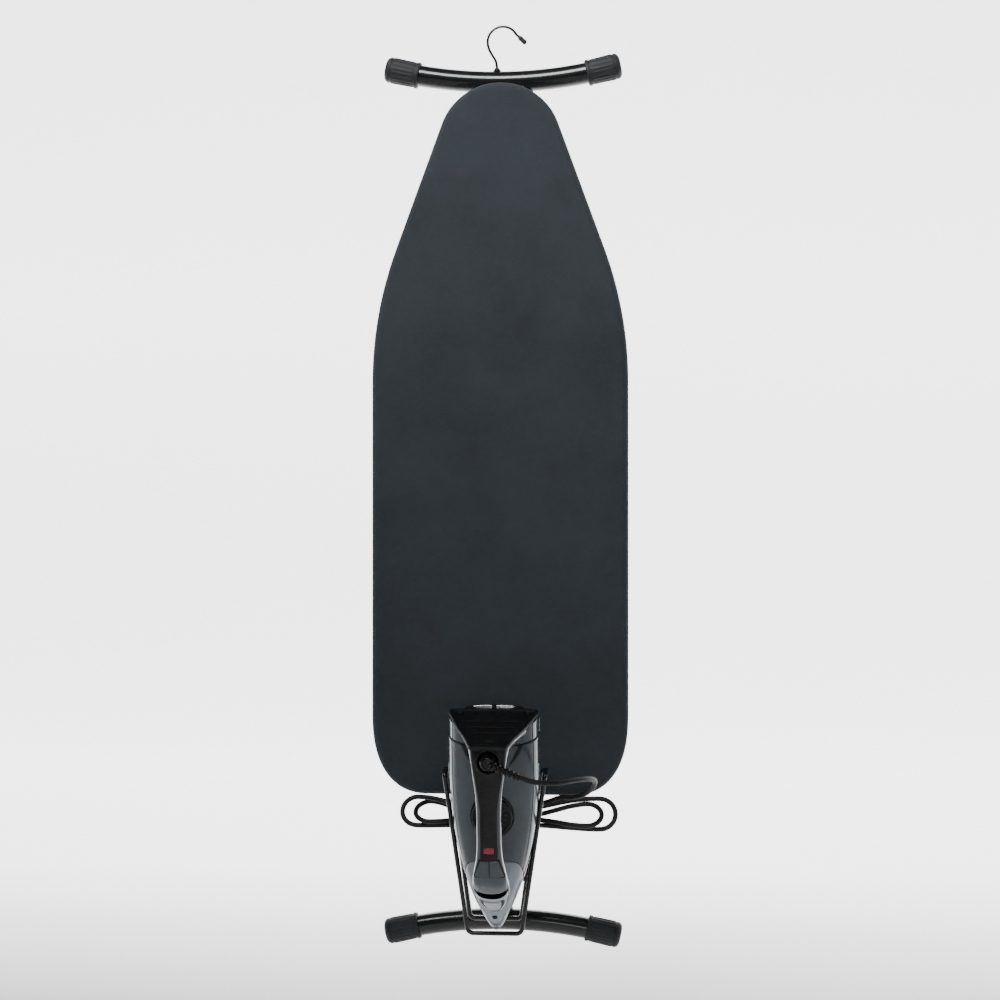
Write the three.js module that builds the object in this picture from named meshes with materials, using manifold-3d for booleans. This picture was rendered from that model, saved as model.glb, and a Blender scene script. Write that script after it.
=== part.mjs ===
// Compact folding ironing board with a hanging hook, an iron cage at its tail and the iron stored in it.
// Millimetres, +Z up, -Y is the ironing side. The board is folded and hangs from the crest of its hook,
// which is the origin. Inside the group "set", z = 0 is the tail edge and y = 0 the middle of the rim.
import * as THREE from "three";
import { mergeVertices } from "three/addons/utils/BufferGeometryUtils.js";
import Module from "manifold-3d";

const wasm = await Module();
wasm.setup();

// ---------------------------------------------------------------- driving dimensions
const GAP = 0.3; // between pieces that touch
const BOARD = { length: 926, half: 167, noseR: 81, taper: 20.2, shoulderR: 500, cornerX: 75, cornerZ: 105, squareness: 2.4 };
const COVER = { front: -15, back: 9, cloth: 1.4, hem: 38 };
const PAD = { front: -13.3, back: -7.3, inset: 2.5 };
const RIM = { half: 7, outer: 4, inner: 16, wall: 1.5 };
const MESH = { front: -4.9, back: -4.1, inset: 6 };
const LEG_Y = 46; // plane of the folded legs
const CENTRE_Z = 382.5; // centre pivot
const ARM = 310; // centre pivot to each top pivot
const REACH = 555; // centre pivot to the middle of each foot
const LEG_A_R = 11;
const LEG_B_R = 9.5;
const LEG_B_X = 28;
const WALL = 1.2; // tube walls
const FOOT = { r: 14, arcR: 610, halfLength: 150 };
const CAP = { r: 17.2, mouth: 38, end: 8, bore: 14.5 };
const PIVOT_R = 4;
const BAR_R = 5; // sliding pins
const RAIL = { x: 46, thick: 2, flange: 16, back: 58, z0: 44, z1: 372 };
const FOLD_STOPS = [41, 48, 55]; // leg angles of the three working heights, degrees
const LEVER = { y: 24, z: 50, r: 3, sleeveR: 6, half: 34 };
const LIFT = { y: 18, x: 45.2, thick: 2, z0: 66, z1: 346, rest: 35.5 };
const ROD_R = 3; // cage rod
const TILT = 8; // the cage and the iron lean forward, degrees
const NOSE_TIP = { y: -44.5, z: -163 };
const CAGE = { frontH: 16, frontU0: -4, frontU1: 205, frontX0: 33.5, frontX1: 63.8, rearH: -3.6, rearU0: 9.1, rearX0: 31.5, rearX1: 54.5 };
const ARMS = { x: 42, z: -39.6, y: 13, top: 122, weldY: -54.85 };
const HOOK = { wire: 1.75, loopR: 20.2, loopZ: 990.8, stemX: -7.7, tipR: 3.1 };
const IRON = { length: 290, half: 58.5, full: 250, heelLean: 12, sole: 9 };
const CORD_R = 3.2;
const PIVOT_Z = CENTRE_Z + ARM;
const SLIDER_Z = CENTRE_Z - ARM;
const FOOT_A_Z = CENTRE_Z - REACH;
const FOOT_B_Z = CENTRE_Z + REACH;
const rad = THREE.MathUtils.degToRad;

// ---------------------------------------------------------------- materials
const paint = (color, roughness, metalness = 0) => new THREE.MeshStandardMaterial({ color, roughness, metalness });
const CHARCOAL_CLOTH = paint(0x2b3034, 0.95);
const FELT = paint(0x8d8a83, 1);
const BLACK_COAT = paint(0x101214, 0.28, 0.1);
const GREY_COAT = paint(0x3a3d40, 0.5, 0.4);
const ZINC = paint(0xb4b7ba, 0.35, 0.9);
const BLACK_RUBBER = paint(0x1c1e21, 0.75);
const BLACK_PLASTIC = paint(0x0e0f11, 0.45);
const GREY_GLOSS = paint(0x343b41, 0.18);
const NOSE_GREY = paint(0x76808a, 0.25);
const STEEL_SOLE = paint(0xc9ccd0, 0.15, 1);
const RED_LENS = paint(0xa8232c, 0.3);
const CORD_BLACK = paint(0x131416, 0.8);

// ---------------------------------------------------------------- geometry helpers
function toSolid(geometry) {
  const flat = geometry.index ? geometry.toNonIndexed() : geometry.clone();
  const bare = new THREE.BufferGeometry().setAttribute("position", flat.getAttribute("position"));
  const merged = mergeVertices(bare, 1e-3);
  const triVerts = new Uint32Array(merged.index.array);
  const make = () => new wasm.Manifold(new wasm.Mesh({ numProp: 3, vertProperties: merged.attributes.position.array, triVerts }));
  let made = make();
  if (made.volume() < 0) {
    for (let i = 0; i < triVerts.length; i += 3) [triVerts[i + 1], triVerts[i + 2]] = [triVerts[i + 2], triVerts[i + 1]];
    made = make();
  }
  return made;
}

function toGeometry(solid) {
  const m = solid.getMesh();
  const position = new Float32Array(m.numVert * 3);
  for (let i = 0; i < m.numVert; i++) position.set(m.vertProperties.subarray(i * m.numProp, i * m.numProp + 3), i * 3);
  const g = new THREE.BufferGeometry().setAttribute("position", new THREE.BufferAttribute(position, 3));
  g.setIndex(new THREE.BufferAttribute(m.triVerts, 1));
  g.computeVertexNormals();
  return g;
}

// A solid is a manifold-3d solid or a geometry; these take either.
const solidOf = (thing) => (thing.isBufferGeometry ? toSolid(thing) : thing);
const cut = (a, ...tools) => tools.reduce((s, t) => s.subtract(solidOf(t)), solidOf(a));
const join = (a, ...more) => more.reduce((s, t) => s.add(solidOf(t)), solidOf(a));

function piece(parent, name, thing, material) {
  const mesh = new THREE.Mesh(toGeometry(solidOf(thing)), material);
  mesh.name = name;
  parent.add(mesh);
  return mesh;
}

const shapeOf = (points) => new THREE.Shape(points.map(([a, b]) => new THREE.Vector2(a, b)));

// A plate whose outline lies in x and z, from y0 to y1.
function plateY(shape, y0, y1) {
  const g = new THREE.ExtrudeGeometry(shape, { depth: y1 - y0, bevelEnabled: false });
  return g.rotateX(Math.PI / 2).translate(0, y1, 0);
}

// A plate whose outline lies in y and z, from x0 to x1.
function plateX(shape, x0, x1) {
  const g = new THREE.ExtrudeGeometry(shape, { depth: x1 - x0, bevelEnabled: false });
  const turn = new THREE.Matrix4().makeBasis(new THREE.Vector3(0, 1, 0), new THREE.Vector3(0, 0, 1), new THREE.Vector3(1, 0, 0));
  return g.applyMatrix4(turn).translate(x0, 0, 0);
}

function box(x0, x1, y0, y1, z0, z1) {
  return new THREE.BoxGeometry(x1 - x0, y1 - y0, z1 - z0).translate((x0 + x1) / 2, (y0 + y1) / 2, (z0 + z1) / 2);
}

function cylinder(axis, r, a, b, at = [0, 0], sides = 24) {
  const g = new THREE.CylinderGeometry(r, r, b - a, sides);
  if (axis === "x") return g.rotateZ(-Math.PI / 2).translate((a + b) / 2, at[0], at[1]);
  if (axis === "y") return g.translate(at[0], (a + b) / 2, at[1]);
  return g.rotateX(Math.PI / 2).translate(at[0], at[1], (a + b) / 2);
}

const circlePoints = (r, sides, cx = 0, cy = 0) =>
  Array.from({ length: sides }, (_, i) => [cx + r * Math.cos((2 * Math.PI * i) / sides), cy + r * Math.sin((2 * Math.PI * i) / sides)]);

// A path through given points, so that a sweep has a step exactly at each of them.
class Route extends THREE.Curve {
  constructor(points) {
    super();
    this.points = points;
  }
  getPointAt(t, target = new THREE.Vector3()) {
    return target.copy(this.points[Math.round(t * (this.points.length - 1))]);
  }
  getTangentAt(t, target = new THREE.Vector3()) {
    const i = Math.round(t * (this.points.length - 1));
    const before = this.points[Math.max(i - 1, 0)];
    const after = this.points[Math.min(i + 1, this.points.length - 1)];
    const here = this.points[i];
    const into = here.clone().sub(before).normalize();
    const out = after.clone().sub(here).normalize();
    return target.copy(into.add(out)).normalize();
  }
}

function sweep(points, r, sides = 8) {
  const route = new Route(points);
  return new THREE.ExtrudeGeometry(shapeOf(circlePoints(r, sides)), { steps: points.length - 1, extrudePath: route, bevelEnabled: false });
}

// Corner points with each inner corner rounded by an arc of the given bend radius.
function bent(corners, bend, steps = 4) {
  const v = corners.map((c) => new THREE.Vector3(...c));
  const out = [v[0]];
  for (let i = 1; i < v.length - 1; i++) {
    const back = v[i - 1].clone().sub(v[i]).normalize();
    const on = v[i + 1].clone().sub(v[i]).normalize();
    const half = Math.acos(THREE.MathUtils.clamp(back.dot(on), -1, 1)) / 2;
    const reach = bend / Math.tan(half);
    const middle = back.clone().add(on).normalize();
    const centre = v[i].clone().add(middle.multiplyScalar(bend / Math.sin(half)));
    const from = v[i].clone().addScaledVector(back, reach).sub(centre);
    const to = v[i].clone().addScaledVector(on, reach).sub(centre);
    const sweepAngle = Math.PI - 2 * half;
    for (let k = 0; k <= steps; k++) {
      const t = k / steps;
      const a = Math.sin((1 - t) * sweepAngle) / Math.sin(sweepAngle);
      const b = Math.sin(t * sweepAngle) / Math.sin(sweepAngle);
      out.push(centre.clone().addScaledVector(from, a).addScaledVector(to, b));
    }
  }
  out.push(v[v.length - 1]);
  return out;
}

const smoothRoute = (points, steps) => new THREE.CatmullRomCurve3(points.map((p) => new THREE.Vector3(...p))).getSpacedPoints(steps);

// A closed body through rings of points; each ring has the same number of points, and its ends are fans.
function loft(rings) {
  const n = rings[0].length;
  const position = [];
  rings.forEach((ring) => ring.forEach((p) => position.push(...p)));
  const index = [];
  for (let i = 0; i < rings.length - 1; i++)
    for (let j = 0; j < n; j++) {
      const a = i * n + j;
      const b = i * n + ((j + 1) % n);
      index.push(a, b, a + n, b, b + n, a + n);
    }
  [0, rings.length - 1].forEach((i) => {
    const centre = rings[i].reduce((s, p) => s.map((x, k) => x + p[k] / n), [0, 0, 0]);
    const c = position.length / 3;
    position.push(...centre);
    for (let j = 0; j < n; j++) {
      const a = i * n + j;
      const b = i * n + ((j + 1) % n);
      index.push(...(i === 0 ? [c, b, a] : [c, a, b]));
    }
  });
  const g = new THREE.BufferGeometry().setAttribute("position", new THREE.Float32BufferAttribute(position, 3));
  return g.setIndex(index);
}

// ---------------------------------------------------------------- board outline
// Half the outline as [x, z], from the middle of the nose to the middle of the tail, moved in by inset.
function boardHalf(inset) {
  const lean = rad(BOARD.taper);
  const half = BOARD.half - inset;
  const noseR = BOARD.noseR - inset;
  const noseZ = BOARD.length - BOARD.noseR;
  const points = [];
  for (let i = 0; i <= 7; i++) {
    const a = Math.PI / 2 - (i / 7) * (Math.PI / 2 - lean);
    points.push([noseR * Math.cos(a), noseZ + noseR * Math.sin(a)]);
  }
  const shoulderR = BOARD.shoulderR - inset;
  const tangentX = noseR * Math.cos(lean);
  const tangentZ = noseZ + noseR * Math.sin(lean);
  const shoulderX = half - shoulderR * (1 - Math.cos(lean));
  const shoulderZ = tangentZ - (shoulderX - tangentX) / Math.tan(lean);
  const centreZ = shoulderZ - shoulderR * Math.sin(lean);
  for (let i = 0; i <= 4; i++) {
    const a = lean * (1 - i / 4);
    points.push([half - shoulderR * (1 - Math.cos(a)), centreZ + shoulderR * Math.sin(a)]);
  }
  const cornerX = BOARD.cornerX - inset * 0.6;
  const cornerZ = BOARD.cornerZ - inset * 0.6;
  for (let i = 0; i <= 8; i++) {
    const a = (i / 8) * (Math.PI / 2);
    const round = (c) => Math.pow(Math.max(c, 0), 2 / BOARD.squareness);
    points.push([half - cornerX + cornerX * round(Math.cos(a)), inset + cornerZ - cornerZ * round(Math.sin(a))]);
  }
  points.push([0, inset]);
  return points;
}

function boardShape(inset) {
  const half = boardHalf(inset);
  const left = half.slice(1, -1).reverse().map(([x, z]) => [-x, z]);
  return shapeOf([...half, ...left]);
}

const boardPlate = (inset, y0, y1) => plateY(boardShape(inset), y0, y1);

// ---------------------------------------------------------------- board
function mesh_top() {
  const holes = [];
  const pitchZ = 62;
  const pitchX = 48;
  for (let row = 0; row < 13; row++)
    for (let column = -2; column <= 2; column++) {
      const z = 66 + row * pitchZ;
      const x = (column + (row % 2 ? 0.5 : 0)) * pitchX;
      const room = boardHalf(34).filter(([, edgeZ]) => Math.abs(edgeZ - z) < 95).reduce((m, [edgeX]) => Math.min(m, edgeX), BOARD.half);
      if (Math.abs(x) + 17 > room) continue;
      holes.push(plateY(shapeOf([[x - 17, z], [x - 8, z - 20], [x + 8, z - 20], [x + 17, z], [x + 8, z + 20], [x - 8, z + 20]]), -8, 0));
    }
  return cut(boardPlate(MESH.inset, MESH.front, MESH.back), ...holes);
}

function rim() {
  const ring = cut(boardPlate(RIM.outer, -RIM.half, RIM.half), boardPlate(RIM.inner, -10, 10));
  return cut(ring, boardPlate(RIM.outer + RIM.wall, -RIM.half + RIM.wall, RIM.half - RIM.wall));
}

function cover() {
  const { front, back, cloth, hem } = COVER;
  return cut(boardPlate(0, front, back), boardPlate(cloth, front + cloth, back - cloth), boardPlate(hem, 0, back + 5));
}

function hem_elastic() {
  return cut(boardPlate(COVER.hem + GAP, 6.4, 8.6), boardPlate(COVER.hem + 4.5, 0, 12));
}

function rail(side) {
  const { x, thick, flange, back, z0, z1 } = RAIL;
  const web = box(x, x + thick, MESH.back + GAP, back, z0, z1);
  const foot = box(x, x + thick + flange, MESH.back + GAP, MESH.back + GAP + 2, z0, z1);
  const slotHalf = BAR_R + 0.5;
  const slot = box(x - 1, x + thick + 1, LEG_Y - slotHalf, LEG_Y + slotHalf, SLIDER_Z - slotHalf, SLIDER_Z + 2 * ARM * (1 - Math.cos(rad(55))) + slotHalf + 1);
  const notches = FOLD_STOPS.map((angle) => {
    const z = PIVOT_Z - 2 * ARM * Math.cos(rad(angle));
    return cylinder("x", BAR_R + 0.6, x - 1, x + thick + 1, [LEG_Y - BAR_R - 1.5, z], 12);
  });
  const windows = [0, 1, 2, 3].map((i) => box(x - 1, x + thick + 1, 6, 26, 132 + i * 60, 172 + i * 60));
  const pinHole = cylinder("x", LEVER.r + GAP, x - 1, x + thick + 1, [LEVER.y, LEVER.z], 12);
  const made = cut(join(web, foot), slot, ...notches, ...windows, pinHole);
  return side > 0 ? made : made.mirror([1, 0, 0]);
}

function pivot_bracket() {
  const y0 = MESH.back + GAP;
  const base = box(-40, 40, y0, y0 + 2, PIVOT_Z - 30, PIVOT_Z + 30);
  const earPoints = [[y0, PIVOT_Z - 24]];
  for (let i = 0; i <= 6; i++) {
    const a = -Math.PI / 2 + (i / 6) * Math.PI;
    earPoints.push([LEG_Y + 10 * Math.cos(a), PIVOT_Z + 10 * Math.sin(a)]);
  }
  earPoints.push([y0, PIVOT_Z + 24]);
  const ears = [LEG_A_R + 1.2, -LEG_A_R - 3.2].map((x) => plateX(shapeOf(earPoints), x, x + 2));
  return cut(join(base, ...ears), cylinder("x", PIVOT_R + GAP, -20, 20, [LEG_Y, PIVOT_Z], 16));
}

function pivot_pin() {
  const end = LEG_A_R + 3.5;
  const shank = cylinder("x", PIVOT_R, -end - 1, end + 1, [LEG_Y, PIVOT_Z], 16);
  const heads = [-end - 2, end].map((x) => cylinder("x", 6.5, x, x + 2, [LEG_Y, PIVOT_Z], 16));
  return join(shank, ...heads);
}

// ---------------------------------------------------------------- height release
function release_lever() {
  const { y, z, sleeveR, half, r } = LEVER;
  const sleeve = cylinder("x", sleeveR, -half, half, [y, z], 16);
  const arm = plateX(shapeOf([[y - 5.4, z + 2], [y - 6.6, z + 22], [y - 8.6, z + 22], [y - 8.6, z], [y - 4, z - 4]]), -22, 22);
  const paddle = plateX(shapeOf([[y - 2, z - 4], [y + 4, z - 41], [y + 3, z - 44], [y + 0.6, z - 43.6], [y - 4.5, z - 4]]), -half, half);
  return cut(join(sleeve, arm, paddle), cylinder("x", r + GAP, -half - 1, half + 1, [y, z], 12));
}

function lever_pin() {
  const outer = RAIL.x + RAIL.thick;
  const heads = [-outer - 2.5, outer + GAP].map((x) => cylinder("x", 5, x, x + 2.2, [LEVER.y, LEVER.z], 12));
  return join(cylinder("x", LEVER.r, -outer - 1, outer + 1, [LEVER.y, LEVER.z], 12), ...heads);
}

function lever_spring() {
  const turns = 4;
  const perTurn = 9;
  const points = [];
  for (let i = 0; i <= turns * perTurn; i++) {
    const a = (2 * Math.PI * i) / perTurn;
    const x = LEVER.half + 1.6 + (i / perTurn) * 1.9;
    points.push(new THREE.Vector3(x, LEVER.y + 5 * Math.cos(a), LEVER.z + 5 * Math.sin(a)));
  }
  return sweep(points, 0.7, 6);
}

function lifter_frame() {
  const { y, x, thick, z0, z1, rest } = LIFT;
  const bridge = box(-x, x, y, y + thick, z0, z0 + 42);
  const strips = [-1, 1].map((side) => box(Math.min(side * x, side * (x - thick)), Math.max(side * x, side * (x - thick)), y, rest, z0, z1));
  return join(bridge, ...strips);
}

// ---------------------------------------------------------------- legs
function legTube(r, x, z0, z1, crossHoles) {
  const hollow = cut(cylinder("z", r, z0, z1, [x, LEG_Y], 20), cylinder("z", r - WALL, z0 - 1, z1 + 1, [x, LEG_Y], 12));
  return cut(hollow, ...crossHoles.map(([z, holeR]) => cylinder("x", holeR, x - 30, x + 30, [LEG_Y, z], 12)));
}

// The foot's centreline; way is -1 for the lower foot and 1 for the upper one, whose ends rise.
function footPoints(z, way, steps) {
  const reach = FOOT.halfLength / FOOT.arcR;
  return Array.from({ length: steps + 1 }, (_, i) => {
    const a = -reach + (2 * reach * i) / steps;
    return new THREE.Vector3(FOOT.arcR * Math.sin(a), LEG_Y, z + way * FOOT.arcR * (1 - Math.cos(a)));
  });
}

function footSolid(z, way, r, steps = 12, sides = 20) {
  return sweep(footPoints(z, way, steps), r, sides);
}

function footTube(z, way) {
  const long = footPoints(z, way, 10);
  const first = long[0].clone().add(long[0].clone().sub(long[1]).normalize());
  const last = long[10].clone().add(long[10].clone().sub(long[9]).normalize());
  return cut(footSolid(z, way, FOOT.r), sweep([first, ...long.slice(1, 10), last], FOOT.r - WALL, 12));
}

function footCap(z, way, side) {
  const profile = [[0, CAP.end], [13, CAP.end], [16.4, 5.4], [CAP.r, 0], [16.4, -28], [16.9, -CAP.mouth], [CAP.bore, -CAP.mouth], [CAP.bore, 0.5], [0, 0.5]];
  const g = new THREE.LatheGeometry(profile.map(([r, t]) => new THREE.Vector2(r, t)), 24);
  const middle = FOOT.halfLength - CAP.mouth / 2;
  const a = (side * middle) / FOOT.arcR;
  const place = new THREE.Object3D();
  place.position.set(FOOT.arcR * Math.sin(a), LEG_Y, z + way * FOOT.arcR * (1 - Math.cos(a)));
  place.rotation.z = (-side * Math.PI) / 2;
  place.rotation.order = "YXZ";
  place.rotation.y = -way * a;
  place.updateMatrix();
  return toSolid(g.translate(0, CAP.mouth / 2, 0).applyMatrix4(place.matrix));
}

function legs(parent) {
  const footAClear = footSolid(FOOT_A_Z, -1, FOOT.r + GAP);
  const footBClear = footSolid(FOOT_B_Z, 1, FOOT.r + GAP);
  piece(parent, "leg_a_tube", cut(legTube(LEG_A_R, 0, FOOT_A_Z, PIVOT_Z + 14, [[CENTRE_Z, 4.4], [PIVOT_Z, 4.3]]), footAClear), BLACK_COAT);
  piece(parent, "leg_a_plug", cut(cylinder("z", LEG_A_R, PIVOT_Z + 14.3, PIVOT_Z + 19, [0, LEG_Y], 20)), BLACK_PLASTIC);
  for (const [name, side] of [["left", -1], ["right", 1]]) {
    const tube = legTube(LEG_B_R, side * LEG_B_X, SLIDER_Z - 12, FOOT_B_Z, [[CENTRE_Z, 4.3], [SLIDER_Z, BAR_R + GAP]]);
    piece(parent, "leg_b_tube_" + name, cut(tube, footBClear), BLACK_COAT);
    piece(parent, "foot_a_cap_" + name, footCap(FOOT_A_Z, -1, side), BLACK_RUBBER);
    piece(parent, "foot_b_cap_" + name, footCap(FOOT_B_Z, 1, side), BLACK_RUBBER);
    const glide = cut(cylinder("x", 9, 48.6, 54, [LEG_Y, SLIDER_Z], 16), cylinder("x", BAR_R + GAP, 40, 60, [LEG_Y, SLIDER_Z], 16));
    piece(parent, "glide_" + name, side > 0 ? glide : glide.mirror([1, 0, 0]), BLACK_PLASTIC);
    const head = cylinder("x", 7, LEG_A_R + 1.1, LEG_B_X - LEG_B_R - GAP, [LEG_Y, SLIDER_Z], 16);
    const pin = join(head, cylinder("x", BAR_R, 16, 57, [LEG_Y, SLIDER_Z], 16));
    piece(parent, "slide_pin_" + name, side > 0 ? pin : pin.mirror([1, 0, 0]), ZINC);
    const spacer = cut(cylinder("x", 7, LEG_A_R + GAP, LEG_B_X - LEG_B_R - GAP, [LEG_Y, CENTRE_Z], 14), cylinder("x", PIVOT_R + GAP, 10, 25, [LEG_Y, CENTRE_Z], 14));
    piece(parent, "spacer_" + name, side > 0 ? spacer : spacer.mirror([1, 0, 0]), BLACK_PLASTIC);
  }
  piece(parent, "foot_a_tube", footTube(FOOT_A_Z, -1), BLACK_COAT);
  const stemHole = cylinder("z", HOOK.wire + 0.6, FOOT_B_Z, FOOT_B_Z + 20, [HOOK.stemX, LEG_Y], 10);
  piece(parent, "foot_b_tube", cut(footTube(FOOT_B_Z, 1), stemHole), BLACK_COAT);
  const outer = LEG_B_X + LEG_B_R + GAP;
  const shank = cylinder("x", PIVOT_R, -outer - 1, outer + 8, [LEG_Y, CENTRE_Z], 16);
  const bolt = join(shank, cylinder("x", 7.5, -outer - 5, -outer, [LEG_Y, CENTRE_Z], 6));
  piece(parent, "centre_bolt", bolt, ZINC);
  piece(parent, "centre_nut", cut(cylinder("x", 7.5, outer, outer + 6.5, [LEG_Y, CENTRE_Z], 6), cylinder("x", PIVOT_R + GAP, 30, 55, [LEG_Y, CENTRE_Z], 16)), ZINC);
}

// ---------------------------------------------------------------- hook
function hook(parent) {
  const { wire, loopR, loopZ, stemX, tipR } = HOOK;
  const tubeTop = FOOT_B_Z + FOOT.r;
  const points = [[stemX, tubeTop - 8], [stemX, tubeTop], [stemX, tubeTop + 5], [-9.3, loopZ - 25.8], [-13.7, loopZ - 18.1], [-18.4, loopZ - 9.3]];
  for (let i = 0; i <= 12; i++) {
    const a = rad(186 - i * 13);
    points.push([loopR * Math.cos(a), loopZ + loopR * Math.sin(a)]);
  }
  points.push([22.9, loopZ + 4.9], [28.5, loopZ - 0.5]);
  const path = points.map(([x, z]) => new THREE.Vector3(x, LEG_Y, z));
  const head = cylinder("z", 3.4, tubeTop - 9.5, tubeTop - 6.5, [stemX, LEG_Y], 10);
  piece(parent, "hook_wire", join(sweep(path, wire, 8), head), BLACK_COAT);
  const end = path[path.length - 1];
  const along = end.clone().sub(path[path.length - 2]).normalize();
  const sleevePath = [-9, 3.2].map((t) => end.clone().addScaledVector(along, t));
  const borePath = [-10, 0.4].map((t) => end.clone().addScaledVector(along, t));
  piece(parent, "hook_tip", cut(sweep(sleevePath, tipR, 12), sweep(borePath, wire + 0.35, 10)), BLACK_RUBBER);
  const collarPoints = [[2.3, tubeTop + 0.3], [5.2, tubeTop + 0.3], [4.6, tubeTop + 4], [2.3, tubeTop + 4]];
  const collar = new THREE.LatheGeometry([...collarPoints, collarPoints[0]].map(([r, z]) => new THREE.Vector2(r, z)), 16);
  piece(parent, "hook_collar", toSolid(collar.rotateX(Math.PI / 2).translate(stemX, LEG_Y, 0)), BLACK_PLASTIC);
}

// ---------------------------------------------------------------- iron cage
// Inside the tilted group a point is (x, -h, u): u runs from the iron's nose to its heel, h from its sole to its handle.
const at = (x, u, h) => [x, -h, u];
const cageX = (u, x0, x1, u0) => x0 + ((x1 - x0) * (u - u0)) / (CAGE.frontU1 - u0);

function cage(parent, tilted) {
  const { frontH, frontU0, frontU1, frontX0, frontX1, rearH, rearU0, rearX0, rearX1 } = CAGE;
  const backH = rearH - 2;
  const front = [at(-frontX1, frontU1, backH), at(-frontX1, frontU1, frontH), at(-frontX0, frontU0, frontH)];
  const frontRoute = [...front, ...front.slice().reverse().map(([x, y, z]) => [-x, y, z])];
  piece(tilted, "cage_front_loop", sweep(bent(frontRoute, 8), ROD_R, 10), BLACK_COAT);
  const touch = frontX1 - 2 * ROD_R - GAP;
  const rear = [at(-touch, frontU1 - 1, rearH), at(-rearX1, frontU1 - 14, rearH), at(-rearX0, rearU0, rearH)];
  const rearRoute = [...rear, ...rear.slice().reverse().map(([x, y, z]) => [-x, y, z])];
  const rearLoop = join(sweep(bent(rearRoute, 7), ROD_R, 10));
  piece(tilted, "cage_rear_loop", rearLoop, BLACK_COAT);
  const barU = 62;
  const barHalf = cageX(barU, rearX0, rearX1 + 2.5, rearU0) - ROD_R - 0.6;
  piece(tilted, "cage_crossbar", cut(cylinder("x", ROD_R, -barHalf, barHalf, [-rearH, barU], 10)), BLACK_COAT);
  for (const [name, side] of [["left", -1], ["right", 1]]) {
    const x = side * ARMS.x;
    const route = [[x, ARMS.weldY, ARMS.z], [x, ARMS.y, ARMS.z], [x, ARMS.y, ARMS.top]];
    piece(parent, "cage_arm_" + name, sweep(bent(route, 10), ROD_R, 10), BLACK_COAT);
  }
  const strapBack = ARMS.y - ROD_R - GAP;
  const half = RAIL.x - GAP;
  piece(parent, "cage_strap_lower", cut(box(-half, half, strapBack - 3, strapBack, 44, 60)), GREY_COAT);
  piece(parent, "cage_strap_upper", cut(box(-half, half, strapBack - 3, strapBack, 102, 118)), GREY_COAT);
}

// ---------------------------------------------------------------- iron
// Half width of the sole at u.
function soleHalf(u) {
  const t = Math.max(0, 1 - u / IRON.full);
  const side = IRON.half * Math.pow(1 - Math.pow(t, 2.8), 0.97);
  const heelRound = 14;
  const over = Math.max(0, u - (IRON.length - heelRound));
  return side - (heelRound - Math.sqrt(Math.max(0, heelRound * heelRound - over * over))) * 0.8;
}

const TANK_TOP = [[0, 11], [6, 18], [14, 27], [24, 36], [36, 46], [48, 53], [62, 57], [90, 58], [242, 58], [276, 60]];
function lookUp(table, t) {
  const i = Math.max(1, table.findIndex(([a]) => a >= t));
  const [[a0, b0], [a1, b1]] = [table[i - 1], table[i]];
  return b0 + ((b1 - b0) * Math.min(1, Math.max(0, (t - a0) / (a1 - a0)))) ;
}

// One dome-shaped ring of the housing at u, grown by grow.
function domeRing(u, grow, sides = 18) {
  const h0 = IRON.sole + GAP - grow;
  const half = Math.max(soleHalf(Math.min(u, IRON.length - 14)) - 2.5, 1.5) + grow;
  const top = lookUp(TANK_TOP, u) + grow;
  const lean = Math.tan(rad(IRON.heelLean)) * THREE.MathUtils.smoothstep(u, 160, 262);
  const ring = [];
  for (let i = 0; i <= sides; i++) {
    const a = (Math.PI * i) / sides;
    const c = Math.cos(a);
    const s = Math.sin(a);
    const h = h0 + (top - h0) * Math.pow(s, 2 / 2.6);
    ring.push(at(Math.sign(c) * half * Math.pow(Math.abs(c), 2 / 2.3), u - h * lean, h));
  }
  return ring;
}

function dome(us, grow = 0) {
  return toSolid(loft(us.map((u) => domeRing(u, grow))));
}

function soleplate() {
  const us = [0.6, 4, 10, 18, 28, 42, 60, 80, 105, 135, 170, 210, 250, 275, 282, 287, 289.5];
  const right = us.map((u) => [soleHalf(u), u]);
  const outline = [...right, ...right.slice().reverse().map(([x, u]) => [-x, u])];
  return plateY(shapeOf(outline), -IRON.sole, 0);
}

const handleSide = [[44, 40], [48, 58], [62, 82], [74, 97], [82, 106], [92, 111], [124, 114], [190, 117], [227, 115], [268, 113],
  [274, 90], [287, 60], [287, 40], [250, 40], [246, 66], [240, 84], [226, 91], [162, 93], [116, 91], [104, 84], [99, 70], [98, 40]];
const handlePlan = [[40, 6], [48, 11], [56, 16], [68, 20.5], [80, 23], [92, 22.5], [108, 20], [125, 17], [145, 16], [180, 16],
  [205, 17.5], [225, 20.5], [246, 23.5], [262, 27], [288, 38]];

function handleBlock() {
  const side = plateX(shapeOf(handleSide.map(([u, h]) => [-h, u])), -40, 40);
  const plan = [...handlePlan.map(([u, x]) => [x, u]), ...handlePlan.slice().reverse().map(([u, x]) => [-x, u])];
  return toSolid(side).intersect(toSolid(plateY(shapeOf(plan), -130, 0)));
}

// A prism standing on the handle's top: its outline in x and u, from height h0 to h1.
const block = (outline, h0, h1) => plateY(shapeOf(outline), -h1, -h0);
const BUTTON = { u0: 101.5, u1: 123.5, x0: 17, x1: 11.5, split: 0.7, h0: 103.5, h1: 115 };
const buttonOutline = (side, grow) => {
  const { u0, u1, x0, x1, split } = BUTTON;
  return [[side * (split - grow), u0 - grow], [side * (x0 + grow), u0 - grow], [side * (x1 + grow), u1 + grow], [side * (split - grow), u1 + grow]];
};
const GRIP = { u0: 126, u1: 225, x: 12.8, h0: 111 };
const BALL = { u: 246.6, h: 111, r: 12, boot: 43, lift: 9.3, swing: rad(-23) };
const DIAL = { u: 163, r: 25.4, h0: 58.6, h1: 66 };
const FLAP = { u0: 48.6, u1: 61.8, h0: 60.4, h1: 83, x: 10.5 };
const LAMP = { u: 136.4, r: 4.6 };

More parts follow.
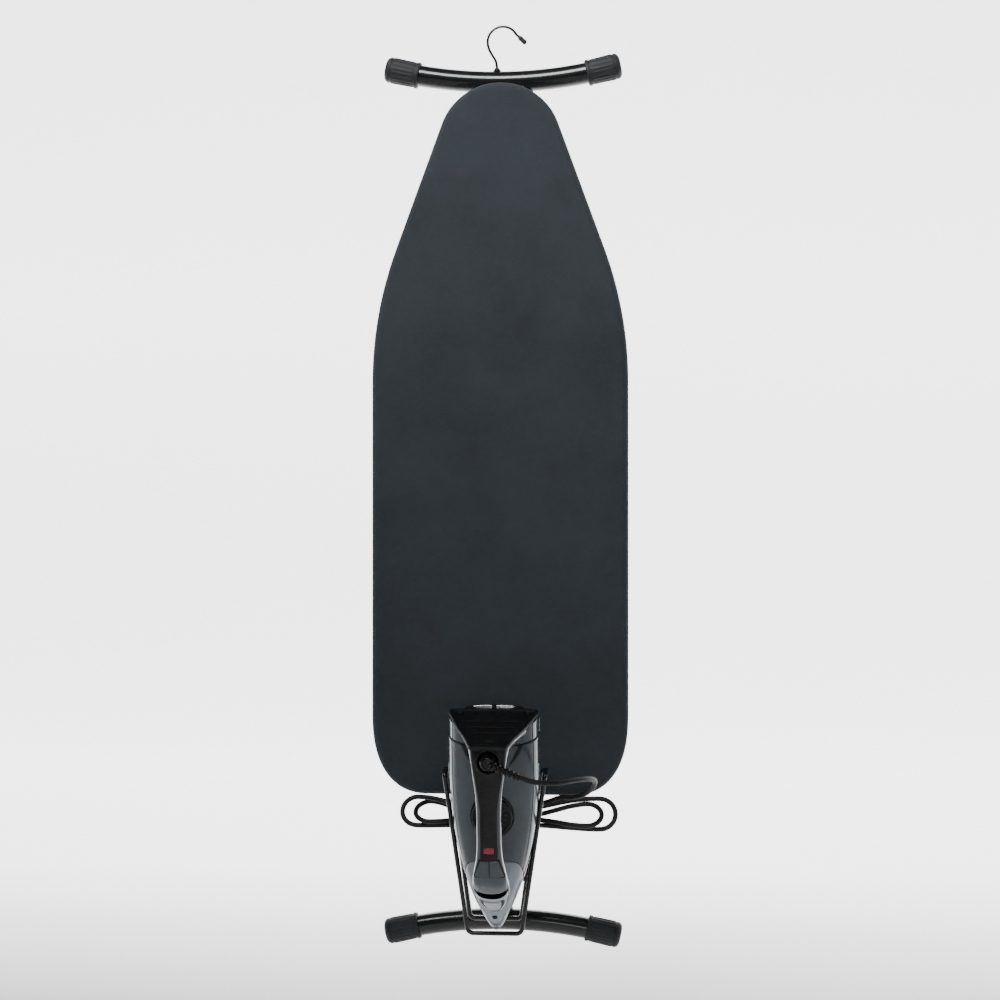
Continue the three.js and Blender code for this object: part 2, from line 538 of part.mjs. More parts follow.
function ironBody(tilted) {
  piece(tilted, "soleplate", soleplate(), STEEL_SOLE);
  const split = 100;
  const noseUs = [1.8, 5, 10, 17, 27, 40, 56, 76, split - 0.15];
  const tankUs = [split + 0.15, 122, 148, 175, 200, 222, 244, 262, 275, IRON.length - 3.4];
  const noseOuter = dome(noseUs);
  const tankOuter = dome(tankUs);
  const noseCavity = box(-14, 14, -34, -6, 44, 84);
  const tankCavity = box(-44, 44, -46, -6, 118, 248);
  const handleClear = dome([...noseUs, ...tankUs], GAP);
  const dialSeat = block(circlePoints(DIAL.r + 0.5, 24, 0, DIAL.u), DIAL.h0 - 0.4, 80);
  piece(tilted, "nose_cover", cut(noseOuter, noseCavity), NOSE_GREY);
  piece(tilted, "water_tank", cut(tankOuter, tankCavity, dialSeat), GREY_GLOSS);
  const chamber = block([[-32, 128], [32, 128], [32, 232], [-32, 232]], IRON.sole + GAP, 28);
  piece(tilted, "steam_chamber", chamber, ZINC);
  const socket = new THREE.SphereGeometry(BALL.r + 0.5, 16, 12).translate(...at(0, BALL.u, BALL.h));
  const bootRun = block(circlePoints(BALL.r + 4, 20, 0, BALL.u), BALL.h + 0.5, 130);
  const pockets = [-1, 1].map((side) => block(buttonOutline(side, GAP + 0.05), BUTTON.h0 - 3.6, 130));
  const gripCut = block([[-GRIP.x - GAP, GRIP.u0], [GRIP.x + GAP, GRIP.u0], [GRIP.x + GAP, GRIP.u1], [-GRIP.x - GAP, GRIP.u1]], GRIP.h0, 130);
  const flapCut = flapSolid(GAP);
  const heelFront = [9, 130].map((h) => [-h, heelU(h) - GAP]);
  const behindHeel = plateX(shapeOf([heelFront[0], heelFront[1], [-130, 320], [-9, 320]]), -70, 70);
  const handle = cut(handleBlock(), behindHeel, handleClear, socket, bootRun, ...pockets, gripCut, flapCut);
  piece(tilted, "handle", biggest(handle), GREY_GLOSS);
  const gripRings = [GRIP.u0 + GAP, 152, 190, GRIP.u1 - GAP].map((u) => {
    const top = lookUp([[124, 114.3], [190, 117.6], [227, 115.6]], u);
    const base = GRIP.h0 + GAP;
    return [[-GRIP.x, base], [GRIP.x, base], [GRIP.x, top - 1.5], [GRIP.x - 4, top], [-GRIP.x + 4, top], [-GRIP.x, top - 1.5]].map(([x, h]) => at(x, u, h));
  });
  const lampHole = block(circlePoints(LAMP.r + GAP, 12, 0, LAMP.u), 100, 130);
  piece(tilted, "grip_inlay", cut(loft(gripRings), lampHole), BLACK_PLASTIC);
  piece(tilted, "pilot_lamp", block(circlePoints(LAMP.r, 12, 0, LAMP.u), GRIP.h0 + GAP, 115.4), RED_LENS);
  piece(tilted, "heel_plate", heelPlate(), BLACK_PLASTIC);
  const nozzle = cylinder("y", 2.6, -42, -34, [0, 25.4], 12);
  piece(tilted, "spray_nozzle", cut(nozzle, dome(noseUs, GAP)), BLACK_PLASTIC);
}

const biggest = (solid) => solid.decompose().sort((a, b) => b.volume() - a.volume())[0];

// u of the heel plate's inner face at height h.
const heelU = (h) => IRON.length - 3 - h * Math.tan(rad(IRON.heelLean));

// The heel plate lies in the plane that leans by heelLean; its outline is in x and h.
const HEEL_HALF = [[11, 52], [14, 56.5], [27, 54], [47, 48], [67, 41], [85, 33.3], [105, 26.5], [117, 22]];
function heelPlate() {
  const outline = [...HEEL_HALF.map(([h, x]) => [x, h]), ...HEEL_HALF.slice().reverse().map(([h, x]) => [-x, h])];
  const rings = [0, 4].map((back) =>
    outline.map(([x, h]) => at(x, heelU(h) + back, h)),
  );
  return toSolid(extrudeBetween(rings));
}

// A flat, possibly concave outline swept straight from ring 0 to ring 1.
function extrudeBetween(rings) {
  const turned = THREE.ShapeUtils.isClockWise(rings[0].map(([x, y]) => new THREE.Vector2(x, y)));
  const [a, b] = turned ? rings.map((ring) => ring.slice().reverse()) : rings;
  const faces = THREE.ShapeUtils.triangulateShape(a.map(([x, y]) => new THREE.Vector2(x, y)), []);
  const n = a.length;
  const index = [];
  faces.forEach(([i, j, k]) => index.push(i, k, j, n + i, n + j, n + k));
  for (let i = 0; i < n; i++) {
    const j = (i + 1) % n;
    index.push(i, j, n + i, j, n + j, n + i);
  }
  const g = new THREE.BufferGeometry().setAttribute("position", new THREE.Float32BufferAttribute([...a, ...b].flat(), 3));
  return g.setIndex(index);
}

function flapSolid(grow) {
  const { u0, u1, h0, h1, x } = FLAP;
  const slope = Math.atan2(h1 - h0, u1 - u0);
  const out = [-Math.sin(slope), Math.cos(slope)];
  const corner = (u, h, t) => [u + out[0] * t, h + out[1] * t];
  const alongU = Math.cos(slope) * grow;
  const alongH = Math.sin(slope) * grow;
  const low = [u0 - alongU, h0 - alongH];
  const high = [u1 + alongU, h1 + alongH];
  const near = grow > 0 ? 12 : 1.6;
  const ring = (t) => {
    const [lu, lh] = corner(...low, t);
    const [hu, hh] = corner(...high, t);
    const wide = x + grow;
    const narrow = x * 0.62 + grow;
    return [at(-narrow, lu, lh), at(narrow, lu, lh), at(wide, hu, hh), at(-wide, hu, hh)];
  };
  return toSolid(loft([ring(-1.6 - grow), ring(near)]));
}

function ironControls(tilted) {
  for (const [name, side] of [["steam_button", -1], ["spray_button", 1]]) {
    const outline = buttonOutline(side, 0);
    piece(tilted, name, block(side > 0 ? outline : outline.slice().reverse(), BUTTON.h0, BUTTON.h1), GREY_GLOSS);
  }
  const dialProfile = [[0, DIAL.h0], [DIAL.r - 1, DIAL.h0], [DIAL.r, DIAL.h0 + 1.5], [DIAL.r, DIAL.h1 - 1.5], [DIAL.r - 2, DIAL.h1], [0, DIAL.h1]];
  const dial = new THREE.LatheGeometry(dialProfile.map(([r, h]) => new THREE.Vector2(r, -h)), 28);
  piece(tilted, "temperature_dial", toSolid(dial.translate(0, 0, DIAL.u)), BLACK_PLASTIC);
  piece(tilted, "filler_flap", flapSolid(0), NOSE_GREY);
}

// The ball that turns in the handle's rear, with the tapered boot that the cord leaves by.
const bootAxis = new THREE.Vector3(Math.cos(BALL.swing), 0, Math.sin(BALL.swing));
function cord_boot() {
  const ball = new THREE.SphereGeometry(BALL.r, 16, 12).translate(...at(0, BALL.u, BALL.h));
  const profile = [[0, 2], [5.6, 2], [5.2, 14], [4.6, 26], [4.2, BALL.boot], [0, BALL.boot]];
  const cone = new THREE.LatheGeometry(profile.map(([r, t]) => new THREE.Vector2(r, t)), 12).rotateZ(-Math.PI / 2).rotateY(-BALL.swing);
  return join(ball, toSolid(cone.translate(...at(0, BALL.u, BALL.h + BALL.lift))));
}

// ---------------------------------------------------------------- cord
// The lead's route in the group "set", from the boot's tip round the side of the cage to the hank.
const HANK = { x0: -126, x1: 155, y0: -49, y1: -24, z0: -36.2, z1: 9 };
const bootTip = () => {
  const tip = new THREE.Vector3(...at(0, BALL.u, BALL.h + BALL.lift)).addScaledVector(bootAxis, BALL.boot);
  return tip.applyAxisAngle(new THREE.Vector3(1, 0, 0), rad(TILT)).add(new THREE.Vector3(0, NOSE_TIP.y, NOSE_TIP.z));
};

function cord(parent) {
  const tip = bootTip();
  const start = [tip.x + GAP + 0.1, tip.y, tip.z - 0.15];
  const points = [start, [tip.x + 18, tip.y + 1, tip.z - 5], [82, tip.y + 9, 40], [104, -168, 42], [121, -146, 41], [129, -122, 35],
    [125, -98, 23], [112, -79, 11], [94, -63, 3], [76, HANK.y0 - CORD_R - GAP - 0.2, -3]];
  const lead = smoothRoute(points, 34);
  const hankShape = [];
  const endR = (HANK.z1 - HANK.z0) / 2;
  const midZ = (HANK.z1 + HANK.z0) / 2;
  for (let i = 0; i <= 8; i++) {
    const a = -Math.PI / 2 + (i / 8) * Math.PI;
    hankShape.push([HANK.x1 - endR + endR * Math.cos(a), midZ + endR * Math.sin(a)]);
  }
  for (let i = 0; i <= 8; i++) {
    const a = Math.PI / 2 + (i / 8) * Math.PI;
    hankShape.push([HANK.x0 + endR + endR * Math.cos(a), midZ + endR * Math.sin(a)]);
  }
  piece(parent, "cord_hank", plateY(shapeOf(hankShape), HANK.y0, HANK.y1), CORD_BLACK);
  piece(parent, "cord_lead", cut(sweep(lead, CORD_R, 8)), CORD_BLACK);
  const band = box(-36, -22, HANK.y0 - 1.6, HANK.y1 + 1.6, HANK.z0 - 1.6, HANK.z1 + 1.6);
  const inside = box(-40, -18, HANK.y0 - GAP, HANK.y1 + GAP, HANK.z0 - GAP, HANK.z1 + GAP);
  piece(parent, "cord_tie", cut(band, inside), BLACK_RUBBER);
  piece(parent, "mains_plug", plug(), BLACK_PLASTIC);
}

// The plug hangs above the hank with its three pins towards the board.
const PLUG = { x: 6, y: -62, z0: 15, half: 24.5, height: 46, thick: 20, pin: 17 };
function plug() {
  const { x, y, z0, half, height, thick, pin } = PLUG;
  const outline = [[x - half, z0 + height - 6], [x - half + 6, z0 + height], [x + half - 6, z0 + height], [x + half, z0 + height - 6],
    [x + half, z0 + 16], [x + half - 12, z0], [x - half + 12, z0], [x - half, z0 + 16]];
  const body = plateY(shapeOf(outline), y, y + thick);
  const face = y + thick;
  const neck = cylinder("z", 4.8, HANK.z1 + GAP, z0 + 1, [x, y + thick / 2 + 4], 12);
  const pins = [box(x - 14, x - 8, face - 1, face + pin, z0 + 13, z0 + 17), box(x + 8, x + 14, face - 1, face + pin, z0 + 13, z0 + 17),
    box(x - 2, x + 2, face - 1, face + pin + 3, z0 + 32, z0 + 40)];
  return join(body, neck, ...pins);
}

// ---------------------------------------------------------------- assembly
const root = new THREE.Group();
const set = new THREE.Group();
const crestZ = HOOK.loopZ + HOOK.loopR - HOOK.wire;
set.position.set(0, -LEG_Y, -crestZ);
root.add(set);
const tilted = new THREE.Group();
tilted.position.set(0, NOSE_TIP.y, NOSE_TIP.z);
tilted.rotation.x = rad(TILT);
set.add(tilted);

piece(set, "cover", cover(), CHARCOAL_CLOTH);
piece(set, "pad", boardPlate(PAD.inset, PAD.front, PAD.back), FELT);
piece(set, "mesh_top", mesh_top(), GREY_COAT);
piece(set, "rim", rim(), BLACK_COAT);
piece(set, "hem_elastic", hem_elastic(), BLACK_RUBBER);
piece(set, "rail_left", rail(-1), GREY_COAT);
piece(set, "rail_right", rail(1), GREY_COAT);
piece(set, "pivot_bracket", pivot_bracket(), GREY_COAT);
piece(set, "pivot_pin", pivot_pin(), ZINC);
piece(set, "release_lever", release_lever(), BLACK_PLASTIC);
piece(set, "lever_pin", lever_pin(), ZINC);
piece(set, "lever_spring", lever_spring(), ZINC);
piece(set, "lifter_frame", lifter_frame(), ZINC);
legs(set);
hook(set);
cage(set, tilted);
ironBody(tilted);
ironControls(tilted);
piece(tilted, "cord_boot", cord_boot(), CORD_BLACK);
cord(set);

export default root;
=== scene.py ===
"""Looks of the folding ironing board set: camera and cord first, then board, legs, cage and iron.

Metres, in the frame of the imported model. Shapes are worked out in millimetres in two helper frames:
  at_set(x, y, z)   z = 0 at the board's tail edge, y = 46 in the plane of the folded legs
  at_iron(x, h, u)  u from the iron's nose to its heel, h from its sole to its handle
"""

import math

import bmesh
import bpy
from mathutils import Matrix, Vector, noise


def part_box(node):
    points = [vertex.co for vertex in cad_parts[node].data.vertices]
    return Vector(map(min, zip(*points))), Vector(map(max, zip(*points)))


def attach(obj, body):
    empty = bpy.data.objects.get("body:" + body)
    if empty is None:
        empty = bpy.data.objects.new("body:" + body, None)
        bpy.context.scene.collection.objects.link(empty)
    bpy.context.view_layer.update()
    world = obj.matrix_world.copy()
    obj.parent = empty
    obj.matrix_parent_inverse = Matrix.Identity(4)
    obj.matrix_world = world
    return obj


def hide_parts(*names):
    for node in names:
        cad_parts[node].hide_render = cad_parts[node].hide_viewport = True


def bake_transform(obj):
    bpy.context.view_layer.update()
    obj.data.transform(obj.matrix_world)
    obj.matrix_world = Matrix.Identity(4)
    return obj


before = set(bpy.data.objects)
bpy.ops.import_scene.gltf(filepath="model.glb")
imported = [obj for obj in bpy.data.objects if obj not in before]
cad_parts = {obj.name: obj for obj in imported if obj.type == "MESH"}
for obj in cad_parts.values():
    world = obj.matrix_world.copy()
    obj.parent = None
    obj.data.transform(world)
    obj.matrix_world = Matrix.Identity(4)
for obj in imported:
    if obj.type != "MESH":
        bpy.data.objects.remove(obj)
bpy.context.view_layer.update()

MM = 0.001
TAU = 2 * math.pi
UP = (0, 0, 1)
TAIL_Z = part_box("cover")[0].z
LEG_Y = 46
TILT = math.radians(8)  # the iron leans out of the board's plane by this much
NOSE_Y, NOSE_Z = -44.5, -163  # where the nose of the iron's sole is


def at_set(x, y, z):
    return Vector((x * MM, (y - LEG_Y) * MM, z * MM + TAIL_Z))


def at_iron(x, h, u):
    y = NOSE_Y - h * math.cos(TILT) - u * math.sin(TILT)
    z = NOSE_Z - h * math.sin(TILT) + u * math.cos(TILT)
    return at_set(x, y, z)


def iron_way(x, h, u):
    """A direction in the iron's frame."""
    return at_iron(x, h, u) - at_iron(0, 0, 0)


# ------------------------------------------------------------------ camera
# It looks at the middle of the set from a little to the right, along a level line.
CAMERA_TURN = math.radians(4.5)
CAMERA_AWAY = 2.6
aim = at_set(1, -15, 383)
camera_data = bpy.data.cameras.new("camera")
camera_data.lens = 72.2
camera_data.sensor_width = 36
camera = bpy.data.objects.new("camera", camera_data)
camera.location = aim + CAMERA_AWAY * Vector((math.sin(CAMERA_TURN), -math.cos(CAMERA_TURN), 0))
camera.rotation_euler = (math.pi / 2, 0, CAMERA_TURN)
bpy.context.scene.collection.objects.link(camera)
bpy.context.scene.camera = camera


# ------------------------------------------------------------------ small maths
def lerp(a, b, t):
    return a + (b - a) * t


def clamp(v, low=0.0, high=1.0):
    return max(low, min(high, v))


def smoothstep(v, low, high):
    t = clamp((v - low) / (high - low))
    return t * t * (3 - 2 * t)


def circle(count):
    return [TAU * k / count for k in range(count)]


def spaced(low, high, count):
    """count + 1 even values from low to high."""
    return [lerp(low, high, k / count) for k in range(count + 1)]


def squared(a, power, wide=1.0, tall=1.0):
    """A point of a superellipse. A power of 1 makes an ellipse, and less makes it squarer."""
    c, s = math.cos(a), math.sin(a)
    return wide * math.copysign(abs(c) ** power, c), tall * math.copysign(abs(s) ** power, s)


def dense(profile, step):
    """The same profile with no stretch longer than step."""
    out = [profile[0]]
    for (r0, t0), (r1, t1) in zip(profile, profile[1:]):
        n = max(1, math.ceil(math.hypot(r1 - r0, t1 - t0) / step))
        out += [(lerp(r0, r1, k / n), lerp(t0, t1, k / n)) for k in range(1, n + 1)]
    return out


def look_up(table, t):
    """Smooth curve through (position, value) pairs, flat beyond both ends."""
    if t <= table[0][0]:
        return table[0][1]
    if t >= table[-1][0]:
        return table[-1][1]
    i = next(k for k in range(1, len(table)) if table[k][0] >= t)
    (t0, v0), (t1, v1) = table[i - 1], table[i]

    def slope(k):
        if k <= 0 or k >= len(table) - 1:
            return None
        left = (table[k][1] - table[k - 1][1]) / (table[k][0] - table[k - 1][0])
        right = (table[k + 1][1] - table[k][1]) / (table[k + 1][0] - table[k][0])
        return 0 if left * right <= 0 else 2 * left * right / (left + right)

    step = t1 - t0
    straight = (v1 - v0) / step
    m0, m1 = slope(i - 1), slope(i)
    m0 = straight if m0 is None else m0
    m1 = straight if m1 is None else m1
    s = (t - t0) / step
    return (
        v0 * (2 * s**3 - 3 * s**2 + 1)
        + m0 * step * (s**3 - 2 * s**2 + s)
        + v1 * (-2 * s**3 + 3 * s**2)
        + m1 * step * (s**3 - s**2)
    )


def between(t0, t1, a, b, t):
    return (t1 - t) / (t1 - t0) * a + (t - t0) / (t1 - t0) * b


def spline(points, count):
    """count + 1 points evenly along a centripetal Catmull-Rom curve through the given ones."""
    p = [Vector(q) for q in points]
    p = [2 * p[0] - p[1], *p, 2 * p[-1] - p[-2]]
    fine = []
    for i in range(1, len(p) - 2):
        four = p[i - 1 : i + 3]
        knots = [0.0] * 4
        for j in range(3):
            knots[j + 1] = knots[j] + max((four[j] - four[j + 1]).length, 1e-9) ** 0.5
        k0, k1, k2, k3 = knots
        for k in range(24):
            t = lerp(k1, k2, k / 24)
            a1, a2, a3 = (between(knots[j], knots[j + 1], four[j], four[j + 1], t) for j in range(3))
            b1, b2 = between(k0, k2, a1, a2, t), between(k1, k3, a2, a3, t)
            fine.append(between(k1, k2, b1, b2, t))
    fine.append(p[-2])
    return resample(fine, count)


def resample(points, count):
    along = [0.0]
    for a, b in zip(points, points[1:]):
        along.append(along[-1] + (b - a).length)
    out, k = [], 0
    for i in range(count + 1):
        want = along[-1] * i / count
        while k < len(points) - 2 and along[k + 1] < want:
            k += 1
        span = max(along[k + 1] - along[k], 1e-12)
        out.append(points[k].lerp(points[k + 1], clamp((want - along[k]) / span)))
    return out


def bent(corners, bend, steps=10):
    """Straight runs between corner points, each inner corner rounded by an arc of radius bend."""
    v = [Vector(c) for c in corners]
    out = [v[0]]
    for i in range(1, len(v) - 1):
        back, on = (v[i - 1] - v[i]).normalized(), (v[i + 1] - v[i]).normalized()
        half = back.angle(on) / 2
        centre = v[i] + (back + on).normalized() * bend / math.sin(half)
        reach = bend / math.tan(half)
        start, end = v[i] + back * reach - centre, v[i] + on * reach - centre
        turn = math.pi - 2 * half
        for k in range(steps + 1):
            t = k / steps
            part = start * math.sin((1 - t) * turn) + end * math.sin(t * turn)
            out.append(centre + part / math.sin(turn))
    out.append(v[-1])
    return out


# ------------------------------------------------------------------ mesh building
class Shape:
    """Gathers points and faces, in metres in the row frame, and makes one object of them."""

    def __init__(self):
        self.points, self.faces, self.paints = [], [], []

    def add(self, points, faces):
        start = len(self.points)
        self.points += [Vector(p) for p in points]
        self.faces += [[i + start for i in f] for f in faces]
        self.paints += [0] * len(faces)
        return self

    def rings(self, rings, closed=True, joined=False, caps=True):
        """Skins equal rings. closed joins each ring's own ends, joined the last ring to the first."""
        n, last = len(rings[0]), (len(rings) - 1) * len(rings[0])
        points = [Vector(p) for ring in rings for p in ring]
        pairs = [(j, (j + 1) % n) for j in range(n if closed else n - 1)]
        faces = [[i + j, i + k, i + n + k, i + n + j] for i in range(0, last, n) for j, k in pairs]
        if joined:
            faces += [[last + j, last + k, k, j] for j, k in pairs]
        elif caps:
            for start, flip in ((0, True), (last, False)):
                hub = len(points)
                points.append(sum(points[start : start + n], Vector()) / n)
                for j, k in pairs:
                    faces.append([hub, start + k, start + j] if flip else [hub, start + j, start + k])
        return self.add(points, faces)

    def tube(self, path, radius, sides=24):
        """A round tube along a path, radius in millimetres."""
        path = [Vector(p) for p in path]
        rings, side = [], None
        for i, p in enumerate(path):
            ahead = (path[min(i + 1, len(path) - 1)] - path[max(i - 1, 0)]).normalized()
            side = side or ahead.orthogonal().normalized()
            side = (side - ahead * side.dot(ahead)).normalized()
            other = ahead.cross(side)
            rings.append(
                [p + (side * math.cos(a) + other * math.sin(a)) * radius * MM for a in circle(sides)]
            )
        return self.rings(rings)

    def lathe(self, profile, origin, axis, sides=48, start=None, wobble=None):
        """Turns (radius, along) pairs in millimetres about an axis. Ends on the axis close it."""
        axis = Vector(axis).normalized()
        side = (Vector(start) if start else axis.orthogonal()).normalized()
        other = axis.cross(side)
        origin = Vector(origin)
        rings = []
        for r, t in profile:
            ring = []
            for a in circle(sides):
                q = r * (wobble(a, r, t) if wobble else 1)
                ring.append(origin + (side * math.cos(a) + other * math.sin(a)) * q * MM + axis * t * MM)
            rings.append(ring)
        return self.rings(rings, caps=False) if profile[0][0] > 1e-6 else self.poled(rings)

    def poled(self, rings):
        """Skins rings whose first and last are single points."""
        n, inner = len(rings[0]), rings[1:-1]
        first, base = len(inner) * n, (len(inner) - 1) * n
        pairs = [(j, (j + 1) % n) for j in range(n)]
        faces = [[i + j, i + k, i + n + k, i + n + j] for i in range(0, base, n) for j, k in pairs]
        for j, k in pairs:
            faces += [[first, k, j], [first + 1, base + j, base + k]]
        return self.add([p for ring in inner for p in ring] + [rings[0][0], rings[-1][0]], faces)

    def prism(self, outline, place, low, high):
        """A flat outline of (a, b) pairs between two levels. place(a, b, level) gives the point."""
        n = len(outline)
        points = [place(a, b, level) for level in (low, high) for a, b in outline]
        faces = [list(range(n))[::-1], list(range(n, 2 * n))]
        for j in range(n):
            k = (j + 1) % n
            faces.append([j, k, n + k, n + j])
        return self.add(points, faces)

    def make(self, name, materials, body=None, node=None, slot=None, sharp=35, bevel=0):
        """One object of it all. With a body it is a finished piece, in place of the CAD piece node."""
        mesh = bpy.data.meshes.new(name)
        mesh.from_pydata([tuple(p) for p in self.points], [], self.faces)
        for m in materials if isinstance(materials, (list, tuple)) else [materials]:
            mesh.materials.append(m)
        mesh.polygons.foreach_set("material_index", self.paints)
        b = bmesh.new()
        b.from_mesh(mesh)
        bmesh.ops.remove_doubles(b, verts=b.verts, dist=1e-6)
        bmesh.ops.recalc_face_normals(b, faces=b.faces)
        b.to_mesh(mesh)
        b.free()
        obj = bpy.data.objects.new(name, mesh)
        bpy.context.scene.collection.objects.link(obj)
        if bevel:
            add_bevel(obj, bevel)
        smooth(obj, sharp)
        if body:
            finish_piece(obj, body, node, slot)
        return obj


def finish_piece(obj, body, node=None, slot=None):
    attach(obj, body)
    slot or SLOTS[obj.data.materials[0].name]
    if node:
        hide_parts(node)
    return obj


def smooth(obj, sharp):
    mesh = obj.data
    mesh.polygons.foreach_set("use_smooth", [True] * len(mesh.polygons))
    mesh.set_sharp_from_angle(angle=math.radians(sharp))
    mesh.update()


def add_bevel(obj, width, angle=30):
    m = obj.modifiers.new("bevel", "BEVEL")
    m.width = width * MM
    m.segments = 2
    m.limit_method = "ANGLE"
    m.angle_limit = math.radians(angle)
    m.use_clamp_overlap = True
    m.harden_normals = True


def thicken(obj, width, sharp):
    """Gives a skin its thickness inwards, and applies every modifier on it."""
    m = obj.modifiers.new("thickness", "SOLIDIFY")
    m.thickness = width * MM
    m.offset = -1
    graph = bpy.context.evaluated_depsgraph_get()
    bpy.context.view_layer.update()
    mesh = bpy.data.meshes.new_from_object(obj.evaluated_get(graph), depsgraph=graph)
    old = obj.data
    obj.modifiers.clear()
    obj.data = mesh
    bpy.data.meshes.remove(old)
    smooth(obj, sharp)


# ------------------------------------------------------------------ materials
class Paint:
    """A Principled material with a few nodes for colour change, roughness change and relief."""

    def __init__(self, name, colour, rough, metal=0.0, **sockets):
        self.material = bpy.data.materials.new(name)
        self.material.use_nodes = True
        self.tree = self.material.node_tree
        self.shader = self.tree.nodes["Principled BSDF"]
        self.shader.inputs["Base Color"].default_value = (*colour, 1)
        self.shader.inputs["Roughness"].default_value = rough
        self.shader.inputs["Metallic"].default_value = metal
        for socket, value in sockets.items():
            self.shader.inputs[socket.replace("_", " ")].default_value = value
        self.material.diffuse_color = (*colour, 1)
        self.coordinates = self.node("ShaderNodeTexCoord").outputs["Object"]

    def node(self, kind, **settings):
        n = self.tree.nodes.new(kind)
        for key, value in settings.items():
            if hasattr(n, key):
                setattr(n, key, value)
            else:
                n.inputs[key.replace("_", " ")].default_value = value
        return n

    def link(self, output, socket):
        self.tree.links.new(output, socket)
        return self

    def math(self, operation, a, b=0.0):
        n = self.node("ShaderNodeMath", operation=operation)
        for k, v in enumerate((a, b)):
            if isinstance(v, (int, float)):
                n.inputs[k].default_value = v
            else:
                self.link(v, n.inputs[k])
        return n.outputs[0]

    def noise(self, scale, detail=2.0, roughness=0.5, stretch=None):
        n = self.node("ShaderNodeTexNoise", Scale=scale, Detail=detail, Roughness=roughness)
        source = self.coordinates
        if stretch:
            mapping = self.node("ShaderNodeMapping", Scale=stretch)
            self.link(source, mapping.inputs["Vector"])
            source = mapping.outputs["Vector"]
        self.link(source, n.inputs["Vector"])
        return n.outputs["Fac"]

    def spread(self, value, low, high, start=0.3, end=0.7):
        limits = {"From_Min": start, "From_Max": end, "To_Min": low, "To_Max": high}
        n = self.node("ShaderNodeMapRange", clamp=True, **limits)
        self.link(value, n.inputs["Value"])
        return n.outputs["Result"]

    def colours(self, value, *stops):
        n = self.node("ShaderNodeValToRGB")
        ramp = n.color_ramp
        while len(ramp.elements) < len(stops):
            ramp.elements.new(0.5)
        for element, (place, colour) in zip(ramp.elements, stops):
            element.position = place
            element.color = (*colour, 1)
        self.link(value, n.inputs["Fac"])
        self.link(n.outputs["Color"], self.shader.inputs["Base Color"])
        return self

    def shades(self, value, colour, *stops):
        """colours, with each stop a multiple of one colour."""
        return self.colours(value, *((place, tuple(c * k for c in colour)) for place, k in stops))

    def roughness(self, value, low, high):
        return self.link(self.spread(value, low, high), self.shader.inputs["Roughness"])

    def bump(self, height, strength, distance):
        n = self.node("ShaderNodeBump", Strength=strength, Distance=distance * MM)
        self.link(height, n.inputs["Height"])
        return self.link(n.outputs["Normal"], self.shader.inputs["Normal"])

    def axis(self, letter):
        if not hasattr(self, "split"):
            self.split = self.node("ShaderNodeSeparateXYZ")
            self.link(self.coordinates, self.split.inputs[0])
        return self.split.outputs[letter]

    def wave(self, letter, pitch):
        """The sine of one coordinate, with the given pitch in millimetres."""
        return self.math("SINE", self.math("MULTIPLY", self.axis(letter), TAU / (pitch * MM)))


def srgb(r, g, b):
    def linear(c):
        c /= 255
        return c / 12.92 if c <= 0.04045 else ((c + 0.055) / 1.055) ** 2.4

    return (linear(r), linear(g), linear(b))


def cloth_material():
    """Plain weave: threads of one pitch passing over and under each other, with slubs and soft blotches."""
    base, pitch = srgb(56, 62, 68), 1.1
    p = Paint("cover_cloth", base, 0.92, Sheen_Weight=0.22, Sheen_Roughness=0.45)
    p.shader.inputs["Sheen Tint"].default_value = (0.72, 0.8, 0.88, 1)
    over = p.math("MULTIPLY", p.wave("X", 2 * pitch), p.wave("Z", 2 * pitch))
    fuzz = p.noise(2600, 2, 0.6)
    p.bump(p.math("ADD", over, p.math("MULTIPLY", fuzz, 0.9)), 0.6, 0.22)
    blotch = p.noise(9, 4, 0.55)
    slub = p.noise(240, 3, 0.6, stretch=(1, 1, 6))
    soft = p.math("ADD", p.math("MULTIPLY", blotch, 0.5), p.math("MULTIPLY", slub, 0.5))
    mix = p.math("ADD", p.math("MULTIPLY", over, 0.10), soft)
    p.shades(mix, base, (0.28, 0.62), (0.5, 1), (0.74, 1.28))
    p.roughness(slub, 0.86, 0.98)
    return p.material


def felt_material():
    p = Paint("pad_felt", srgb(150, 146, 138), 1.0, Sheen_Weight=0.5)
    fibre = p.noise(900, 5, 0.7)
    p.colours(fibre, (0.3, srgb(118, 114, 108)), (0.55, srgb(150, 146, 138)), (0.75, srgb(176, 172, 163)))
    return p.bump(fibre, 0.6, 0.5).material


def coat_material(name, colour, rough, grain=1.3, depth=0.05, **sockets):
    """Powder coat: a fine orange peel, its colour and gloss a little uneven."""
    p = Paint(name, colour, rough, **sockets)
    p.shades(p.noise(60, 4, 0.6), colour, (0.3, 0.8), (0.55, 1), (0.8, 1.45))
    p.roughness(p.noise(35, 3, 0.5), rough * 0.82, rough * 1.25)
    return p.bump(p.noise(1000 / grain, 2, 0.5), 0.35, depth).material


def zinc_material():
    p = Paint("zinc_plate", srgb(186, 188, 188), 0.34, 0.95)
    spangle = p.noise(420, 3, 0.6)
    p.colours(spangle, (0.3, srgb(150, 152, 152)), (0.6, srgb(190, 192, 192)), (0.8, srgb(205, 203, 192)))
    p.roughness(p.noise(90, 3, 0.5), 0.26, 0.46)
    return p.bump(p.noise(1500, 2, 0.5), 0.2, 0.03).material


def rubber_material(name, colour, rough):
    p = Paint(name, colour, rough, Specular_IOR_Level=0.5)
    dust = p.noise(45, 4, 0.65)
    p.shades(dust, colour, (0.3, 0.75), (0.55, 1), (0.8, 1.5))
    p.roughness(dust, rough * 0.88, min(1.0, rough * 1.2))
    return p.bump(p.noise(2200, 3, 0.6), 0.4, 0.06).material


